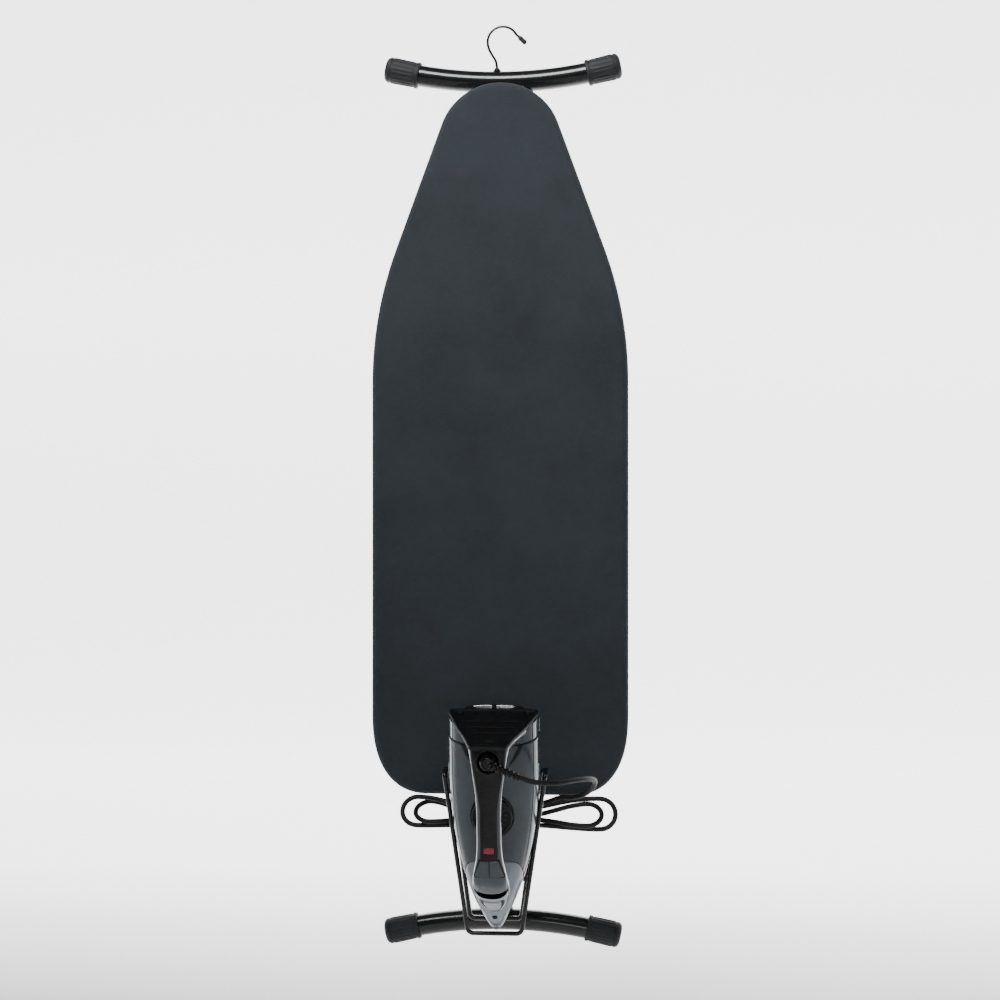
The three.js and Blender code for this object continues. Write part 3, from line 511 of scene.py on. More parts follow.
def moulded_material(name, colour, rough, grain=0.5, depth=0.05):
    """Matt moulded plastic with a fine spark-eroded grain."""
    p = Paint(name, colour, rough)
    p.shades(p.noise(30, 3, 0.6), colour, (0.3, 0.82), (0.6, 1), (0.85, 1.3))
    p.roughness(p.noise(55, 3, 0.5), rough * 0.88, min(1.0, rough * 1.15))
    return p.bump(p.noise(1000 / grain, 3, 0.6), 0.45, depth).material


def gloss_material(name, colour, rough):
    """Glossy moulded plastic with fine metallic flakes under a clear face."""
    p = Paint(name, colour, rough, 0.12, Coat_Weight=0.6, Coat_Roughness=0.05, Specular_IOR_Level=0.6)
    flake, cloud = p.noise(3800, 2, 0.7), p.noise(14, 3, 0.5)
    mix = p.math("ADD", p.math("MULTIPLY", flake, 0.35), p.math("MULTIPLY", cloud, 0.65))
    p.shades(mix, colour, (0.3, 0.72), (0.5, 1), (0.72, 1.35))
    p.roughness(p.noise(22, 4, 0.6), rough * 0.85, rough * 1.3)
    return p.bump(p.noise(160, 2, 0.4), 0.06, 0.08).material


def sole_material():
    p = Paint("sole_steel", srgb(214, 216, 220), 0.16, 1.0)
    brushed = p.noise(900, 3, 0.6, stretch=(1, 1, 0.02))
    p.colours(brushed, (0.3, srgb(196, 198, 203)), (0.7, srgb(226, 228, 231)))
    p.roughness(brushed, 0.12, 0.24)
    return p.bump(brushed, 0.12, 0.02).material


def lens_material():
    p = Paint("lamp_lens", srgb(150, 30, 38), 0.2, Coat_Weight=0.6, Coat_Roughness=0.04)
    p.shader.inputs["Emission Color"].default_value = (0.5, 0.02, 0.03, 1)
    p.shader.inputs["Emission Strength"].default_value = 0.12
    facets = p.math("MULTIPLY", p.wave("X", 1.8), p.wave("Z", 1.8))
    p.colours(p.spread(facets, 0, 1, -1, 1), (0.2, srgb(112, 20, 28)), (0.8, srgb(186, 48, 52)))
    return p.bump(facets, 0.5, 0.25).material


def cord_material():
    p = Paint("cord_sheath", srgb(27, 27, 29), 0.5, Specular_IOR_Level=0.5)
    scuff = p.noise(75, 4, 0.6)
    p.colours(scuff, (0.3, srgb(20, 20, 22)), (0.55, srgb(28, 28, 30)), (0.8, srgb(41, 41, 43)))
    p.roughness(scuff, 0.42, 0.62)
    return p.bump(p.noise(700, 2, 0.5), 0.25, 0.06).material


def brass_material():
    p = Paint("pin_brass", srgb(201, 172, 104), 0.3, 1.0)
    tone = p.noise(120, 3, 0.5)
    p.colours(tone, (0.3, srgb(180, 148, 84)), (0.7, srgb(214, 188, 122)))
    return p.roughness(tone, 0.24, 0.42).bump(p.noise(1800, 2, 0.5), 0.2, 0.02).material


def elastic_material():
    p = Paint("hem_elastic_knit", srgb(40, 42, 45), 0.95, Sheen_Weight=0.2)
    rib = p.math("MULTIPLY", p.wave("X", 1.6), p.wave("Z", 1.6))
    p.colours(p.spread(rib, 0, 1, -1, 1), (0.2, srgb(28, 29, 31)), (0.8, srgb(54, 57, 60)))
    return p.bump(rib, 0.7, 0.3).material


def stage_material():
    """Pale paper, lit through from behind where it stands at the back."""
    p = Paint("stage_paper", (0.9, 0.9, 0.9), 0.85)
    p.colours(p.noise(3, 2, 0.5), (0.3, (0.89, 0.89, 0.89)), (0.7, (0.91, 0.91, 0.91)))
    glow = p.spread(p.axis("Y"), 0, 3.0, -0.1, 1.3)
    p.shader.inputs["Emission Color"].default_value = (1, 1, 1, 1)
    p.link(glow, p.shader.inputs["Emission Strength"])
    return p.bump(p.noise(400, 3, 0.5), 0.05, 0.2).material


CLOTH = cloth_material()
FELT = felt_material()
BLACK_COAT = coat_material("gloss_black_coat", srgb(24, 25, 27), 0.24, Coat_Weight=0.5, Coat_Roughness=0.12)
GREY_COAT = coat_material("grey_coat", srgb(92, 96, 100), 0.46, Metallic=0.25, grain=1.0, depth=0.07)
ZINC = zinc_material()
CAP_RUBBER = rubber_material("cap_rubber", srgb(42, 44, 47), 0.62)
BLACK_PLASTIC = moulded_material("black_plastic", srgb(24, 25, 27), 0.46)
HEEL_PLASTIC = moulded_material("heel_plastic", srgb(10, 10, 12), 0.5, grain=0.35)
GRIP_PLASTIC = moulded_material("grip_plastic", srgb(21, 22, 25), 0.42, grain=0.3, depth=0.04)
# Near-black, for real dark parts (fuse cover, nozzle, heel ribs) and as painted shade in the handle's cuts,
# the gaps round the buttons and filler tongue, the filler opening, the sole's vent holes and beside the
# handle's rear pillar.
DARK_PLASTIC_AND_SHADE = moulded_material("dark_plastic_and_painted_shade", srgb(9, 9, 10), 0.6)
GREY_GLOSS = gloss_material("grey_gloss", srgb(75, 83, 91), 0.17)
NOSE_GREY = gloss_material("nose_grey", srgb(148, 158, 170), 0.2)
SOLE = sole_material()
LENS = lens_material()
CORD = cord_material()
BRASS = brass_material()
ELASTIC = elastic_material()
STAGE = stage_material()
TEAL = gloss_material("level_window", srgb(34, 126, 128), 0.12)
MARK = moulded_material("dial_print", srgb(62, 63, 65), 0.6)
BOOT_RUBBER = moulded_material("boot_rubber", srgb(17, 17, 19), 0.22, grain=0.8, depth=0.03)
SLOTS = {
    material.name: slot
    for slot, group in {
        "cloth": (CLOTH,), "felt": (FELT,), "black_coat": (BLACK_COAT,), "grey_coat": (GREY_COAT, MARK),
        "zinc": (ZINC, BRASS), "black_rubber": (CAP_RUBBER, ELASTIC), "cord_black": (CORD, BOOT_RUBBER),
        "black_plastic": (BLACK_PLASTIC, HEEL_PLASTIC, GRIP_PLASTIC, DARK_PLASTIC_AND_SHADE), "sole_steel": (SOLE,),
        "grey_gloss": (GREY_GLOSS, TEAL), "nose_grey": (NOSE_GREY,), "red_lens": (LENS,),
    }.items()
    for material in group
}


# ------------------------------------------------------------------ stage and lights
def build_stage():
    """Pale paper: a floor well below the hanging piece, curving up into a wall behind it."""
    floor_z, back, front, half, bend = -1.36, 4.2, -3.6, 6.0, 1.4
    profile = [(front, floor_z), (back - bend, floor_z)]
    for k in range(1, 13):
        a = k / 12 * math.pi / 2
        profile.append((back - bend + bend * math.sin(a), floor_z + bend * (1 - math.cos(a))))
    profile.append((back, 5.0))
    s = Shape()
    s.rings([[(x, y, z) for y, z in profile] for x in (-half, half)], closed=False, caps=False)
    s.make("stage_paper", STAGE, sharp=60)


def light(name, place, target, size, power, colour=(1, 1, 1), spread=180):
    data = bpy.data.lights.new(name, "AREA")
    data.shape = "RECTANGLE"
    data.size, data.size_y = size
    data.energy = power
    data.color = colour
    data.spread = math.radians(spread)
    obj = bpy.data.objects.new(name, data)
    obj.location = place
    obj.rotation_euler = (Vector(target) - Vector(place)).to_track_quat("-Z", "Y").to_euler()
    bpy.context.scene.collection.objects.link(obj)


def build_lights():
    world = bpy.data.worlds.new("studio")
    bpy.context.scene.world = world
    world.use_nodes = True
    sky = world.node_tree.nodes["Background"]
    sky.inputs["Color"].default_value = (0.95, 0.98, 1.0, 1)
    sky.inputs["Strength"].default_value = 0.07
    light("key_light", (-0.45, -1.5, 1.3), (0, 0, 0.12), (1.3, 0.8), 7.4, spread=54)
    light("right_light", (1.7, -1.1, -0.45), (0, 0, -0.6), (0.1, 2.2), 0.6, (0.96, 0.98, 1.0))
    light("left_light", (-1.8, -0.9, -0.5), (0, 0, -0.6), (0.1, 2.0), 0.38)
    light("low_light", (0.4, -2.0, -0.9), (0, -0.1, -1.2), (0.9, 0.3), 0.32, spread=50)


build_stage()
build_lights()


# ------------------------------------------------------------------ cord
CORD_R = 3.2
BALL_U, BALL_H = 246.6, 111
BOOT_LIFT, BOOT_LENGTH = 9.3, 43
BOOT_SWING = math.radians(-23)
boot_start = at_iron(0, BALL_H + BOOT_LIFT, BALL_U)
boot_tip = boot_start + BOOT_LENGTH * iron_way(math.cos(BOOT_SWING), 0, math.sin(BOOT_SWING))
boot_axis = (boot_tip - boot_start).normalized()
PLUG_NECK = (6, -48)
FOLD_R = 19.4  # three diameters of the cord


def fold(side, tip, y, z, half):
    """An end loop of the hank, from its top strand to its bottom one. It leans forward to stay this round."""
    depth = math.sqrt(FOLD_R**2 - half**2)
    turns = [math.radians(a) for a in spaced(-82, 82, 8)]
    return [
        (
            side * (tip - FOLD_R + FOLD_R * math.cos(a)), y - depth * math.sin(a), z - half * math.sin(a)
        ) for a in turns
    ]


def cord_route():
    """From the boot round the side of the cage, twice round the hank, and up into the plug."""
    tip = (boot_tip - at_set(0, 0, 0)) / MM
    lead = [
        (tip.x - 3, tip.y, tip.z + 1.2), (tip.x + 18, tip.y + 1, tip.z - 5), (82, tip.y + 9, 41),
        (104, -168, 42),
        (120, -146, 41), (127, -122, 35.5), (124, -98, 24), (113, -79, 12.5), (98, -66, 6), (82, -57, 4.5),
        (64, -50.5, -2.5), (42, -46, -8.5), (20, -43.5, -11.5), (-5, -41.5, -13.2), (-29, -40.5, -13.5),
        (-50, -38.6, -10.2), (-70, -36.2, -4.6), (-88, -33.8, -1.2),
    ]
    left_outer = fold(-1, 122.8, -42, -17, 16.6)
    bottom = [
        (-76, -49.6, -33.9), (-52, -45.4, -33.8), (-29, -42.6, -33.2), (0, -43, -33.3), (25, -44.5, -33.3),
        (45, -45.2, -33), (66, -44, -33.9),
        (88, -43.2, -35.8),
    ]
    right_outer = fold(1, 151, -38, -18.9, 18.5)[::-1]
    top = [
        (110, -31, -1.2), (88, -29, -4.6), (62, -31.6, -10), (30, -34.5, -15.5), (0, -37.2, -19.2),
        (-29, -38.2, -20.1), (-45, -35.6, -17.2), (-60, -31.4, -12.8), (-75, -27.4, -8.6)
    ]
    left_inner = fold(-1, 105.6, -42, -17.4, 10.6)
    low = [
        (-72, -55.6, -27.8), (-56, -48.6, -27.2), (-42, -42.8, -26.7), (-29, -39.6, -26.7), (0, -37.6, -26.6),
        (28, -37, -26.4), (52, -41, -26.8),
        (74, -49, -28), (96, -56.8, -30.2),
    ]
    right_inner = fold(1, 133.5, -44, -19.3, 11.7)[::-1]
    end = [
        (96, -30.4, -10), (76, -36.8, -14.4), (56, -45, -18.6), (40, -50.4, -19.8), (28, -53, -18.8),
        (17.6, -53.6, -14.6), (10, -52.2, -6.6), (6.5, -49.6, 3), (6, -48.2, 11), (6, -48, 16)
    ]
    outer_turn = lead + left_outer + bottom + right_outer
    inner_turn = top + left_inner + low + right_inner
    return [at_set(*p) for p in outer_turn + inner_turn + end]


def build_cord():
    rough = spline(cord_route(), 760)
    length = sum((b - a).length for a, b in zip(rough, rough[1:]))
    path = resample(rough, round(length / 0.0028))
    cord = Shape().tube(path, CORD_R, sides=18).make("cord", CORD, sharp=60)
    pieces_on_it = [*build_plug(), build_tie()]
    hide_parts("cord_lead", "cord_hank")
    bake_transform(cord)


def build_tie():
    """A strap of knitted webbing round the four strands of the hank, its tail folded over itself."""
    x0, x1, thick, corner = -35, -23, 1.1, 4
    (y0, z0), (y1, z1) = (-46.6, -37.6), (-34.0, -9.2)

    def section(grow):
        pts = []
        turns = ((y1 - corner, z0 + corner, -90), (y1 - corner, z1 - corner, 0))
        turns += ((y0 + corner, z1 - corner, 90), (y0 + corner, z0 + corner, 180))
        for y, z, first in turns:
            for a in spaced(math.radians(first), math.radians(first + 90), 6):
                pts.append((y + (corner + grow) * math.cos(a), z + (corner + grow) * math.sin(a)))
        return pts

    inner, outer = section(0.3), section(0.3 + thick)
    s = Shape()
    bands = ((x0, inner), (x0, outer), (x1, outer), (x1, inner))
    s.rings([[at_set(x, y, z) for y, z in ring] for x, ring in bands], joined=True)
    tail = [(2.2, -13), (3.2, -16), (3.3, -24), (3.6, -31), (5.5, -34.5)]
    flat = ((x0 + 0.6, 0.5), (x1 - 0.6, 0.5), (x1 - 0.6, -0.5), (x0 + 0.6, -0.5))
    s.rings([[at_set(x, y0 - out + d, z) for x, d in flat] for out, z in tail])
    return s.make("cord_tie_strap", ELASTIC, body="iron", node="cord_tie", bevel=0.25)


def build_plug():
    """Moulded three-pin plug hanging above the hank with its pins towards the board."""
    x, y0, z0, half, height, thick, pin = 6, -62, 15, 24.5, 46, 20, 17
    face = y0 + thick

    def box(shape, cx, cz, wide, tall, levels):
        rings = []
        for y, inset in levels:
            w, t = wide - inset, tall - inset
            rings.append(
                [at_set(cx + sx * w, y, cz + sz * t) for sx, sz in ((-1, -1), (1, -1), (1, 1), (-1, 1))]
            )
        return shape.rings(rings)

    s = Shape()
    rings = []
    for t, inset in (
        (0, 3.2), (0.5, 1.6), (1.8, 0.5), (4, 0), (thick - 1.6, 0), (thick - 0.4, 0.5), (thick, 1.4)
    ):
        ring = []
        for a in circle(72):
            px, pz = squared(a, 0.42, half - inset, height / 2 - inset)
            squeeze = 1 - 0.42 * smoothstep(-pz / (height / 2 - inset), 0.1, 1.0)
            ring.append(at_set(x + px * squeeze, y0 + t, z0 + height / 2 + pz))
        rings.append(ring)
    s.rings(rings)
    neck = [(0, 0), (4.2, 0), (4.8, 0.5)]
    for t in (0, 2, 4):
        neck += [(4.8, 0.8 + t), (4.8, 1.8 + t), (4.1, 2.0 + t), (4.1, 2.6 + t)]
    neck += [(5.4, 7.2), (6.2, 9.6), (0, 9.6)]
    s.lathe(neck, at_set(*PLUG_NECK, 9.4), UP, sides=32)
    plug = s.make("plug", BLACK_PLASTIC, body="iron", node="mains_plug", sharp=40)
    pins = Shape()
    flat_pin = (x - 11, z0 + 15, 3, 2, pin)
    for cx, cz, wide, tall, long in (flat_pin, (x + 11, *flat_pin[1:]), (x, z0 + 36, 2, 4, pin + 3)):
        levels = ((-2, 0), (long - 1.2, 0), (long - 0.3, 0.35), (long, 0.9))
        box(pins, cx, cz, wide, tall, [(face + t, inset) for t, inset in levels])
    brass = pins.make("plug_pins", BRASS, body="iron", bevel=0.3, sharp=30)
    fuse = box(Shape(), x, z0 + 24.5, 6, 3.4, ((face - 0.3, 0), (face + 0.45, 0), (face + 0.75, 0.35)))
    return [plug, brass, fuse.make("plug_fuse_cover", DARK_PLASTIC_AND_SHADE, body="iron", sharp=30)]


build_cord()


# ------------------------------------------------------------------ CAD pieces that stay
def refine(node, material, bevel):
    """A CAD piece keeps its shape and gets rounded edges and a real material."""
    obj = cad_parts[node]
    obj.data.materials.clear()
    obj.data.materials.append(material)
    obj.modifiers.new("weld", "WELD").merge_threshold = 2e-5
    add_bevel(obj, bevel, angle=32)


# ------------------------------------------------------------------ board
LENGTH, HALF, NOSE_R, TAPER, SHOULDER_R = 926, 167, 81, math.radians(20.2), 500
CORNER_X, CORNER_Z, SQUARENESS = 75, 105, 2.4
FRONT = -15  # the level of the cover's front face


def board_half(inset):
    """Half the board's outline, (x, z) from the middle of the nose to the middle of the tail."""
    half, nose_r, shoulder_r = HALF - inset, NOSE_R - inset, SHOULDER_R - inset
    nose_z = LENGTH - NOSE_R
    pts = [(nose_r * math.cos(a), nose_z + nose_r * math.sin(a)) for a in spaced(math.pi / 2, TAPER, 26)]
    tangent = pts[-1]
    shoulder_x = half - shoulder_r * (1 - math.cos(TAPER))
    shoulder_z = tangent[1] - (shoulder_x - tangent[0]) / math.tan(TAPER)
    centre_z = shoulder_z - shoulder_r * math.sin(TAPER)
    pts += [
        (lerp(tangent[0], shoulder_x, i / 26), lerp(tangent[1], shoulder_z, i / 26))
        for i in range(1, 26)
    ]
    for a in spaced(TAPER, 0, 20):
        pts.append((half - shoulder_r * (1 - math.cos(a)), centre_z + shoulder_r * math.sin(a)))
    corner_x, corner_z = CORNER_X - inset * 0.6, CORNER_Z - inset * 0.6
    pts += [(half, lerp(centre_z, inset + corner_z, i / 50)) for i in range(1, 50)]
    for a in spaced(0, math.pi / 2, 36):
        c, q = squared(a, 2 / SQUARENESS)
        pts.append((half - corner_x + corner_x * c, inset + corner_z - corner_z * q))
    return pts + [(lerp(half - corner_x, 0, i / 16), inset) for i in range(1, 17)]


def board_ring(inset):
    right = board_half(inset)
    return right + [(-x, z) for x, z in right[-2:0:-1]]


def build_cover():
    """Tight cotton cover: fine creases run in from its edges, its hem is gathered behind by the elastic."""
    top = [(i, FRONT) for i in (70, 56, 46, 38, 31, 25, 20, 16, 12.5)]
    arc = [(9 - 9 * math.sin(a), FRONT + 8 - 8 * math.cos(a)) for a in spaced(0, math.pi / 2, 7)]
    wall = [(0, -4), (0, -1), (0, 2), (0.1, 4)]
    turn = [(4.5 - 4.4 * math.cos(a), 4.4 + 3.9 * math.sin(a)) for a in spaced(0, math.pi / 2, 5)[1:]]
    back = [(i, 8.35) for i in (8, 12, 16, 20, 24, 28, 31, 34, 36, 37.4, 38)]
    profile = top + arc + wall + turn + back

    def gathered(x, z, inset):
        way = math.atan2(z - 430, x) * 38
        pleat = math.sin(way * 2.3 + 1.6 * math.sin(way * 0.37)) * 0.5 + 0.5 * math.sin(way * 4.1 + 0.7)
        hem = 0.9 if inset == 38 else 0
        return at_set(x, 8.4 + smoothstep(inset, 6, 36) * (0.9 * pleat + 0.2) - hem, z)

    def creased(x, y, z):
        crease = noise.noise(Vector((x * 0.010, z * 0.075, 3.1))) * 0.9
        crease += noise.noise(Vector((x * 0.022, z * 0.19, 8.4))) * 0.42
        crease *= smoothstep(abs(x), 60, 165)
        crease += smoothstep(z, 780, 920) * 0.6 * noise.noise(Vector((x * 0.09, z * 0.02, 5.2)))
        swell = noise.noise(Vector((x * 0.006, z * 0.006, 1.7))) * 0.5
        return at_set(x, y + 0.35 + (crease + swell) * 0.5 * smoothstep(y, 4, FRONT + 1), z)

    rings = []
    for t in (0, 0.12, 0.25, 0.4, 0.55, 0.7, 0.85):
        inner = board_ring(profile[0][0])
        rings.append([creased(x * t, FRONT, lerp(clamp(z, 150, LENGTH - 120), z, t)) for x, z in inner])
    for inset, y in profile:
        ring = board_ring(inset)
        rings.append([gathered(x, z, inset) if y > 7 else creased(x, y, z) for x, z in ring])
    cover = Shape().rings(rings, caps=False).make("cover_cloth", CLOTH, sharp=70)
    sub = cover.modifiers.new("fine", "SUBSURF")
    sub.levels = sub.render_levels = 1
    thicken(cover, 0.7, 70)
    return finish_piece(cover, "board", "cover")


def build_pad():
    front, back = -13.0, -7.4
    arc = [
        (2.8 + 3.4 * (1 - math.sin(a)), front + 3.4 * (1 - math.cos(a)))
        for a in spaced(0, math.pi / 2, 4)
    ]
    profile = [(60, front), (30, front), (12, front), *arc, (2.8, -8.2), (3.4, -7.5), (12, back), (60, back)]

    def shrunk(y, t):
        return [(x * t, y, lerp(clamp(z, 150, 800), z, t)) for x, z in board_ring(60)]

    rings = [shrunk(front, t) for t in (0.05, 0.5)]
    rings += [[(x, y, z) for x, z in board_ring(i)] for i, y in profile]
    rings += [shrunk(back, t) for t in (0.5, 0.05)]
    pad = Shape().rings([[at_set(*p) for p in ring] for ring in rings])
    pad.make("pad_foam", FELT, body="board", node="pad", sharp=50)


def build_hem_elastic():
    """The round elastic in the hem, just inside the gathered edge."""
    ring = [at_set(x, 7.3, z) for x, z in board_ring(40)]
    back = Vector((0, 1, 0))
    rings = []
    for i, p in enumerate(ring):
        side = (ring[(i + 1) % len(ring)] - ring[i - 1]).cross(back).normalized()
        rings.append([p + (side * math.cos(a) + back * math.sin(a)) * 1.25 * MM for a in circle(10)])
    s = Shape().rings(rings, joined=True)
    return s.make("hem_cord", ELASTIC, body="board", node="hem_elastic", sharp=60)


def build_mesh_top():
    """Expanded steel: slit and stretched sheet, whose strands make flat diamonds."""
    pitch_x, pitch_z, strand, thick, level, rim = 22.0, 11.0, 1.15, 0.8, -4.5, 6.5
    half = board_half(rim)

    def room(z):
        z = clamp(z, rim + 0.1, LENGTH - rim - 0.1)
        best = 0
        for (x0, z0), (x1, z1) in zip(half, half[1:]):
            if (z0 - z) * (z1 - z) <= 0 and abs(z1 - z0) > 1e-9:
                best = max(best, lerp(x0, x1, (z - z0) / (z1 - z0)))
        return best

    s = Shape()
    for row in range(int(LENGTH / pitch_z * 2) + 1):
        z = row * pitch_z / 2
        if z < 6 or z > LENGTH - 6:
            continue
        wide = room(z)
        count = int((wide + 8) / pitch_x) + 1
        for column in range(-count, count + 1):
            x = column * pitch_x + (pitch_x / 2 if row % 2 else 0)
            if abs(x) > wide + 2:
                continue
            outer = [(x - pitch_x / 2, z), (x, z - pitch_z / 2), (x + pitch_x / 2, z), (x, z + pitch_z / 2)]
            k = 1 - 2 * strand / pitch_z * 1.15
            inner = [(x + (px - x) * (k - 0.02), z + (pz - z) * k) for px, pz in outer]
            limit = [room(pz) for _, pz in outer]
            corners = []
            for ring, less in ((outer, 0), (inner, 0.3)):
                for (px, pz), w in zip(ring, limit):
                    w -= less
                    corners.append((clamp(px, -w, w), clamp(pz, rim + less, LENGTH - rim - less)))
            faces = []
            for a in range(4):
                b = (a + 1) % 4
                faces += [
                    [a, b, 4 + b, 4 + a], [8 + b, 8 + a, 12 + a, 12 + b], [4 + a, 4 + b, 12 + b, 12 + a]
                ]
            faced = (level - thick / 2, level + thick / 2)
            s.add([at_set(px, y, pz) for y in faced for px, pz in corners], faces)
    s.make("mesh_sheet", GREY_COAT, body="board", node="mesh_top", sharp=30)


def build_board():
    cover = build_cover()
    build_pad()
    hem = build_hem_elastic()
    build_mesh_top()
    refine("rim", BLACK_COAT, 0.4)
    for node in ("rail_left", "rail_right", "pivot_bracket"):
        refine(node, GREY_COAT, 0.35)
    refine("lifter_frame", ZINC, 0.3)
    refine("cage_strap_lower", GREY_COAT, 0.5)
    refine("cage_strap_upper", GREY_COAT, 0.5)


build_board()


# ------------------------------------------------------------------ legs, feet, pins
CENTRE_Z, ARM, REACH = 382.5, 310, 555
LEG_A_R, LEG_B_R, LEG_B_X, WALL = 11, 9.5, 28, 1.2
FOOT_R, FOOT_ARC, FOOT_HALF = 14, 610, 150
PIVOT_Z, SLIDER_Z = CENTRE_Z + ARM, CENTRE_Z - ARM
FOOT_A_Z, FOOT_B_Z = CENTRE_Z - REACH, CENTRE_Z + REACH
LEVER_Y, LEVER_Z = 24, 50


def pipe(shape, x, z0, z1, r, open_end):
    """An upright round tube. Its open lower end has a rounded lip and a real bore."""
    low = [(0, 0), (r, 0)]
    if open_end:
        low = [(0, 30), (r - WALL, 30), (r - WALL, 0.4), (r - WALL + 0.4, 0), (r - 0.4, 0), (r, 0.4)]
    shape.lathe(low + [(r, z1 - z0), (0, z1 - z0)], at_set(x, LEG_Y, z0), UP, sides=64)


def weld_ring(shape, x, foot_z, way, r):
    """The fillet of weld metal where a leg meets the round of a foot, with its ripples."""
    ring = []
    for a in circle(72):
        px, py = (r + 0.4) * math.cos(a), (r + 0.4) * math.sin(a)
        rise = math.sqrt(max((FOOT_R + 0.4) ** 2 - py**2, 0))
        arc = FOOT_ARC * (1 - math.cos(math.asin((x + px) / FOOT_ARC)))
        ring.append(Vector((x + px, LEG_Y + py, foot_z + way * (arc - rise))))
    rings = []
    for i, a in enumerate(circle(72)):
        ahead = (ring[(i + 1) % 72] - ring[i - 1]).normalized()
        side = Vector((math.cos(a), math.sin(a), 0))
        side = (side - ahead * side.dot(ahead)).normalized()
        up = ahead.cross(side)
        bead = 2.3 + 0.22 * math.sin(24 * a) + 0.15 * math.sin(7 * a + 1)
        rings.append(
            [at_set(*(ring[i] + (side * math.cos(b) + up * math.sin(b)) * bead)) for b in circle(10)]
        )
    shape.rings(rings, joined=True)


def build_foot(letter, z, way):
    def middle(a):
        return at_set(FOOT_ARC * math.sin(a), LEG_Y, z + way * FOOT_ARC * (1 - math.cos(a)))

    def ribs(angle, r, t):
        along = smoothstep(t, -32.4, -30) * (1 - smoothstep(t, -4, -1.8))
        return 1 + along * 0.03 * (max(0.0, math.cos(angle * 22)) ** 0.7 - 0.35)

    body, reach = "leg_" + letter, FOOT_HALF / FOOT_ARC
    bar = Shape().tube([middle(a) for a in spaced(-reach, reach, 60)], FOOT_R, sides=64)
    bar.make(f"foot_{letter}_bar", BLACK_COAT, body=body, node=f"foot_{letter}_tube")
    profile = [
        (14.4, -32), (14.4, -38.0), (15.6, -38.3), (16.9, -37.6), (17.2, -36.6), (17.2, -34.2), (16.9, -33.4),
        (16.2, -33.0), (16.1, -32.4), (16.3, -31.6), (16.45, -28), (16.55, -20), (16.7, -12), (16.85, -6),
        (16.9, -1.8), (16.3, -0.9), (16.25, -0.2), (16.9, 0.5), (16.7, 2.4), (15.7, 4.6), (13.8, 6.4),
        (11.2, 7.5), (7.5, 7.95), (3, 8), (0, 8),
    ]
    for word, side in (("left", -1), ("right", 1)):
        a = side * (FOOT_HALF - 19) / FOOT_ARC
        axis = Vector((side * math.cos(a), 0, way * side * math.sin(a)))
        origin = middle(a) + axis * 19 * MM
        cap = Shape().lathe(dense(profile, 2.2), origin, axis, sides=176, start=(0, 1, 0), wobble=ribs)
        name = f"foot_{letter}_cap_{word}"
        cap.make(name + "_ribbed", CAP_RUBBER, body=body, node=name, sharp=38)


def hexagon(shape, x0, x1, across, y, z):
    """A hexagon head along x with its corners turned off."""
    chamfer = 0.7
    rings = []
    for x, cut in ((x0, chamfer), (x0 + chamfer, 0), (x1 - chamfer, 0), (x1, chamfer)):
        ring = []
        for a in circle(48):
            flat = across / 2 / math.cos((a % (TAU / 6)) - TAU / 12)
            r = min(flat, across / 2 * 1.12 - cut * 0.8)
            ring.append(at_set(x, y + r * math.cos(a), z + r * math.sin(a)))
        rings.append(ring)
    shape.rings(rings)


def turned(name, profile, x, side, z, material, node):
    """A piece of the legs turned about x, starting at x and reaching outwards on the given side."""
    s = Shape().lathe(profile, at_set(side * x, LEG_Y, z), (side, 0, 0))
    s.make(name, material, body="leg_b", node=node, sharp=32)


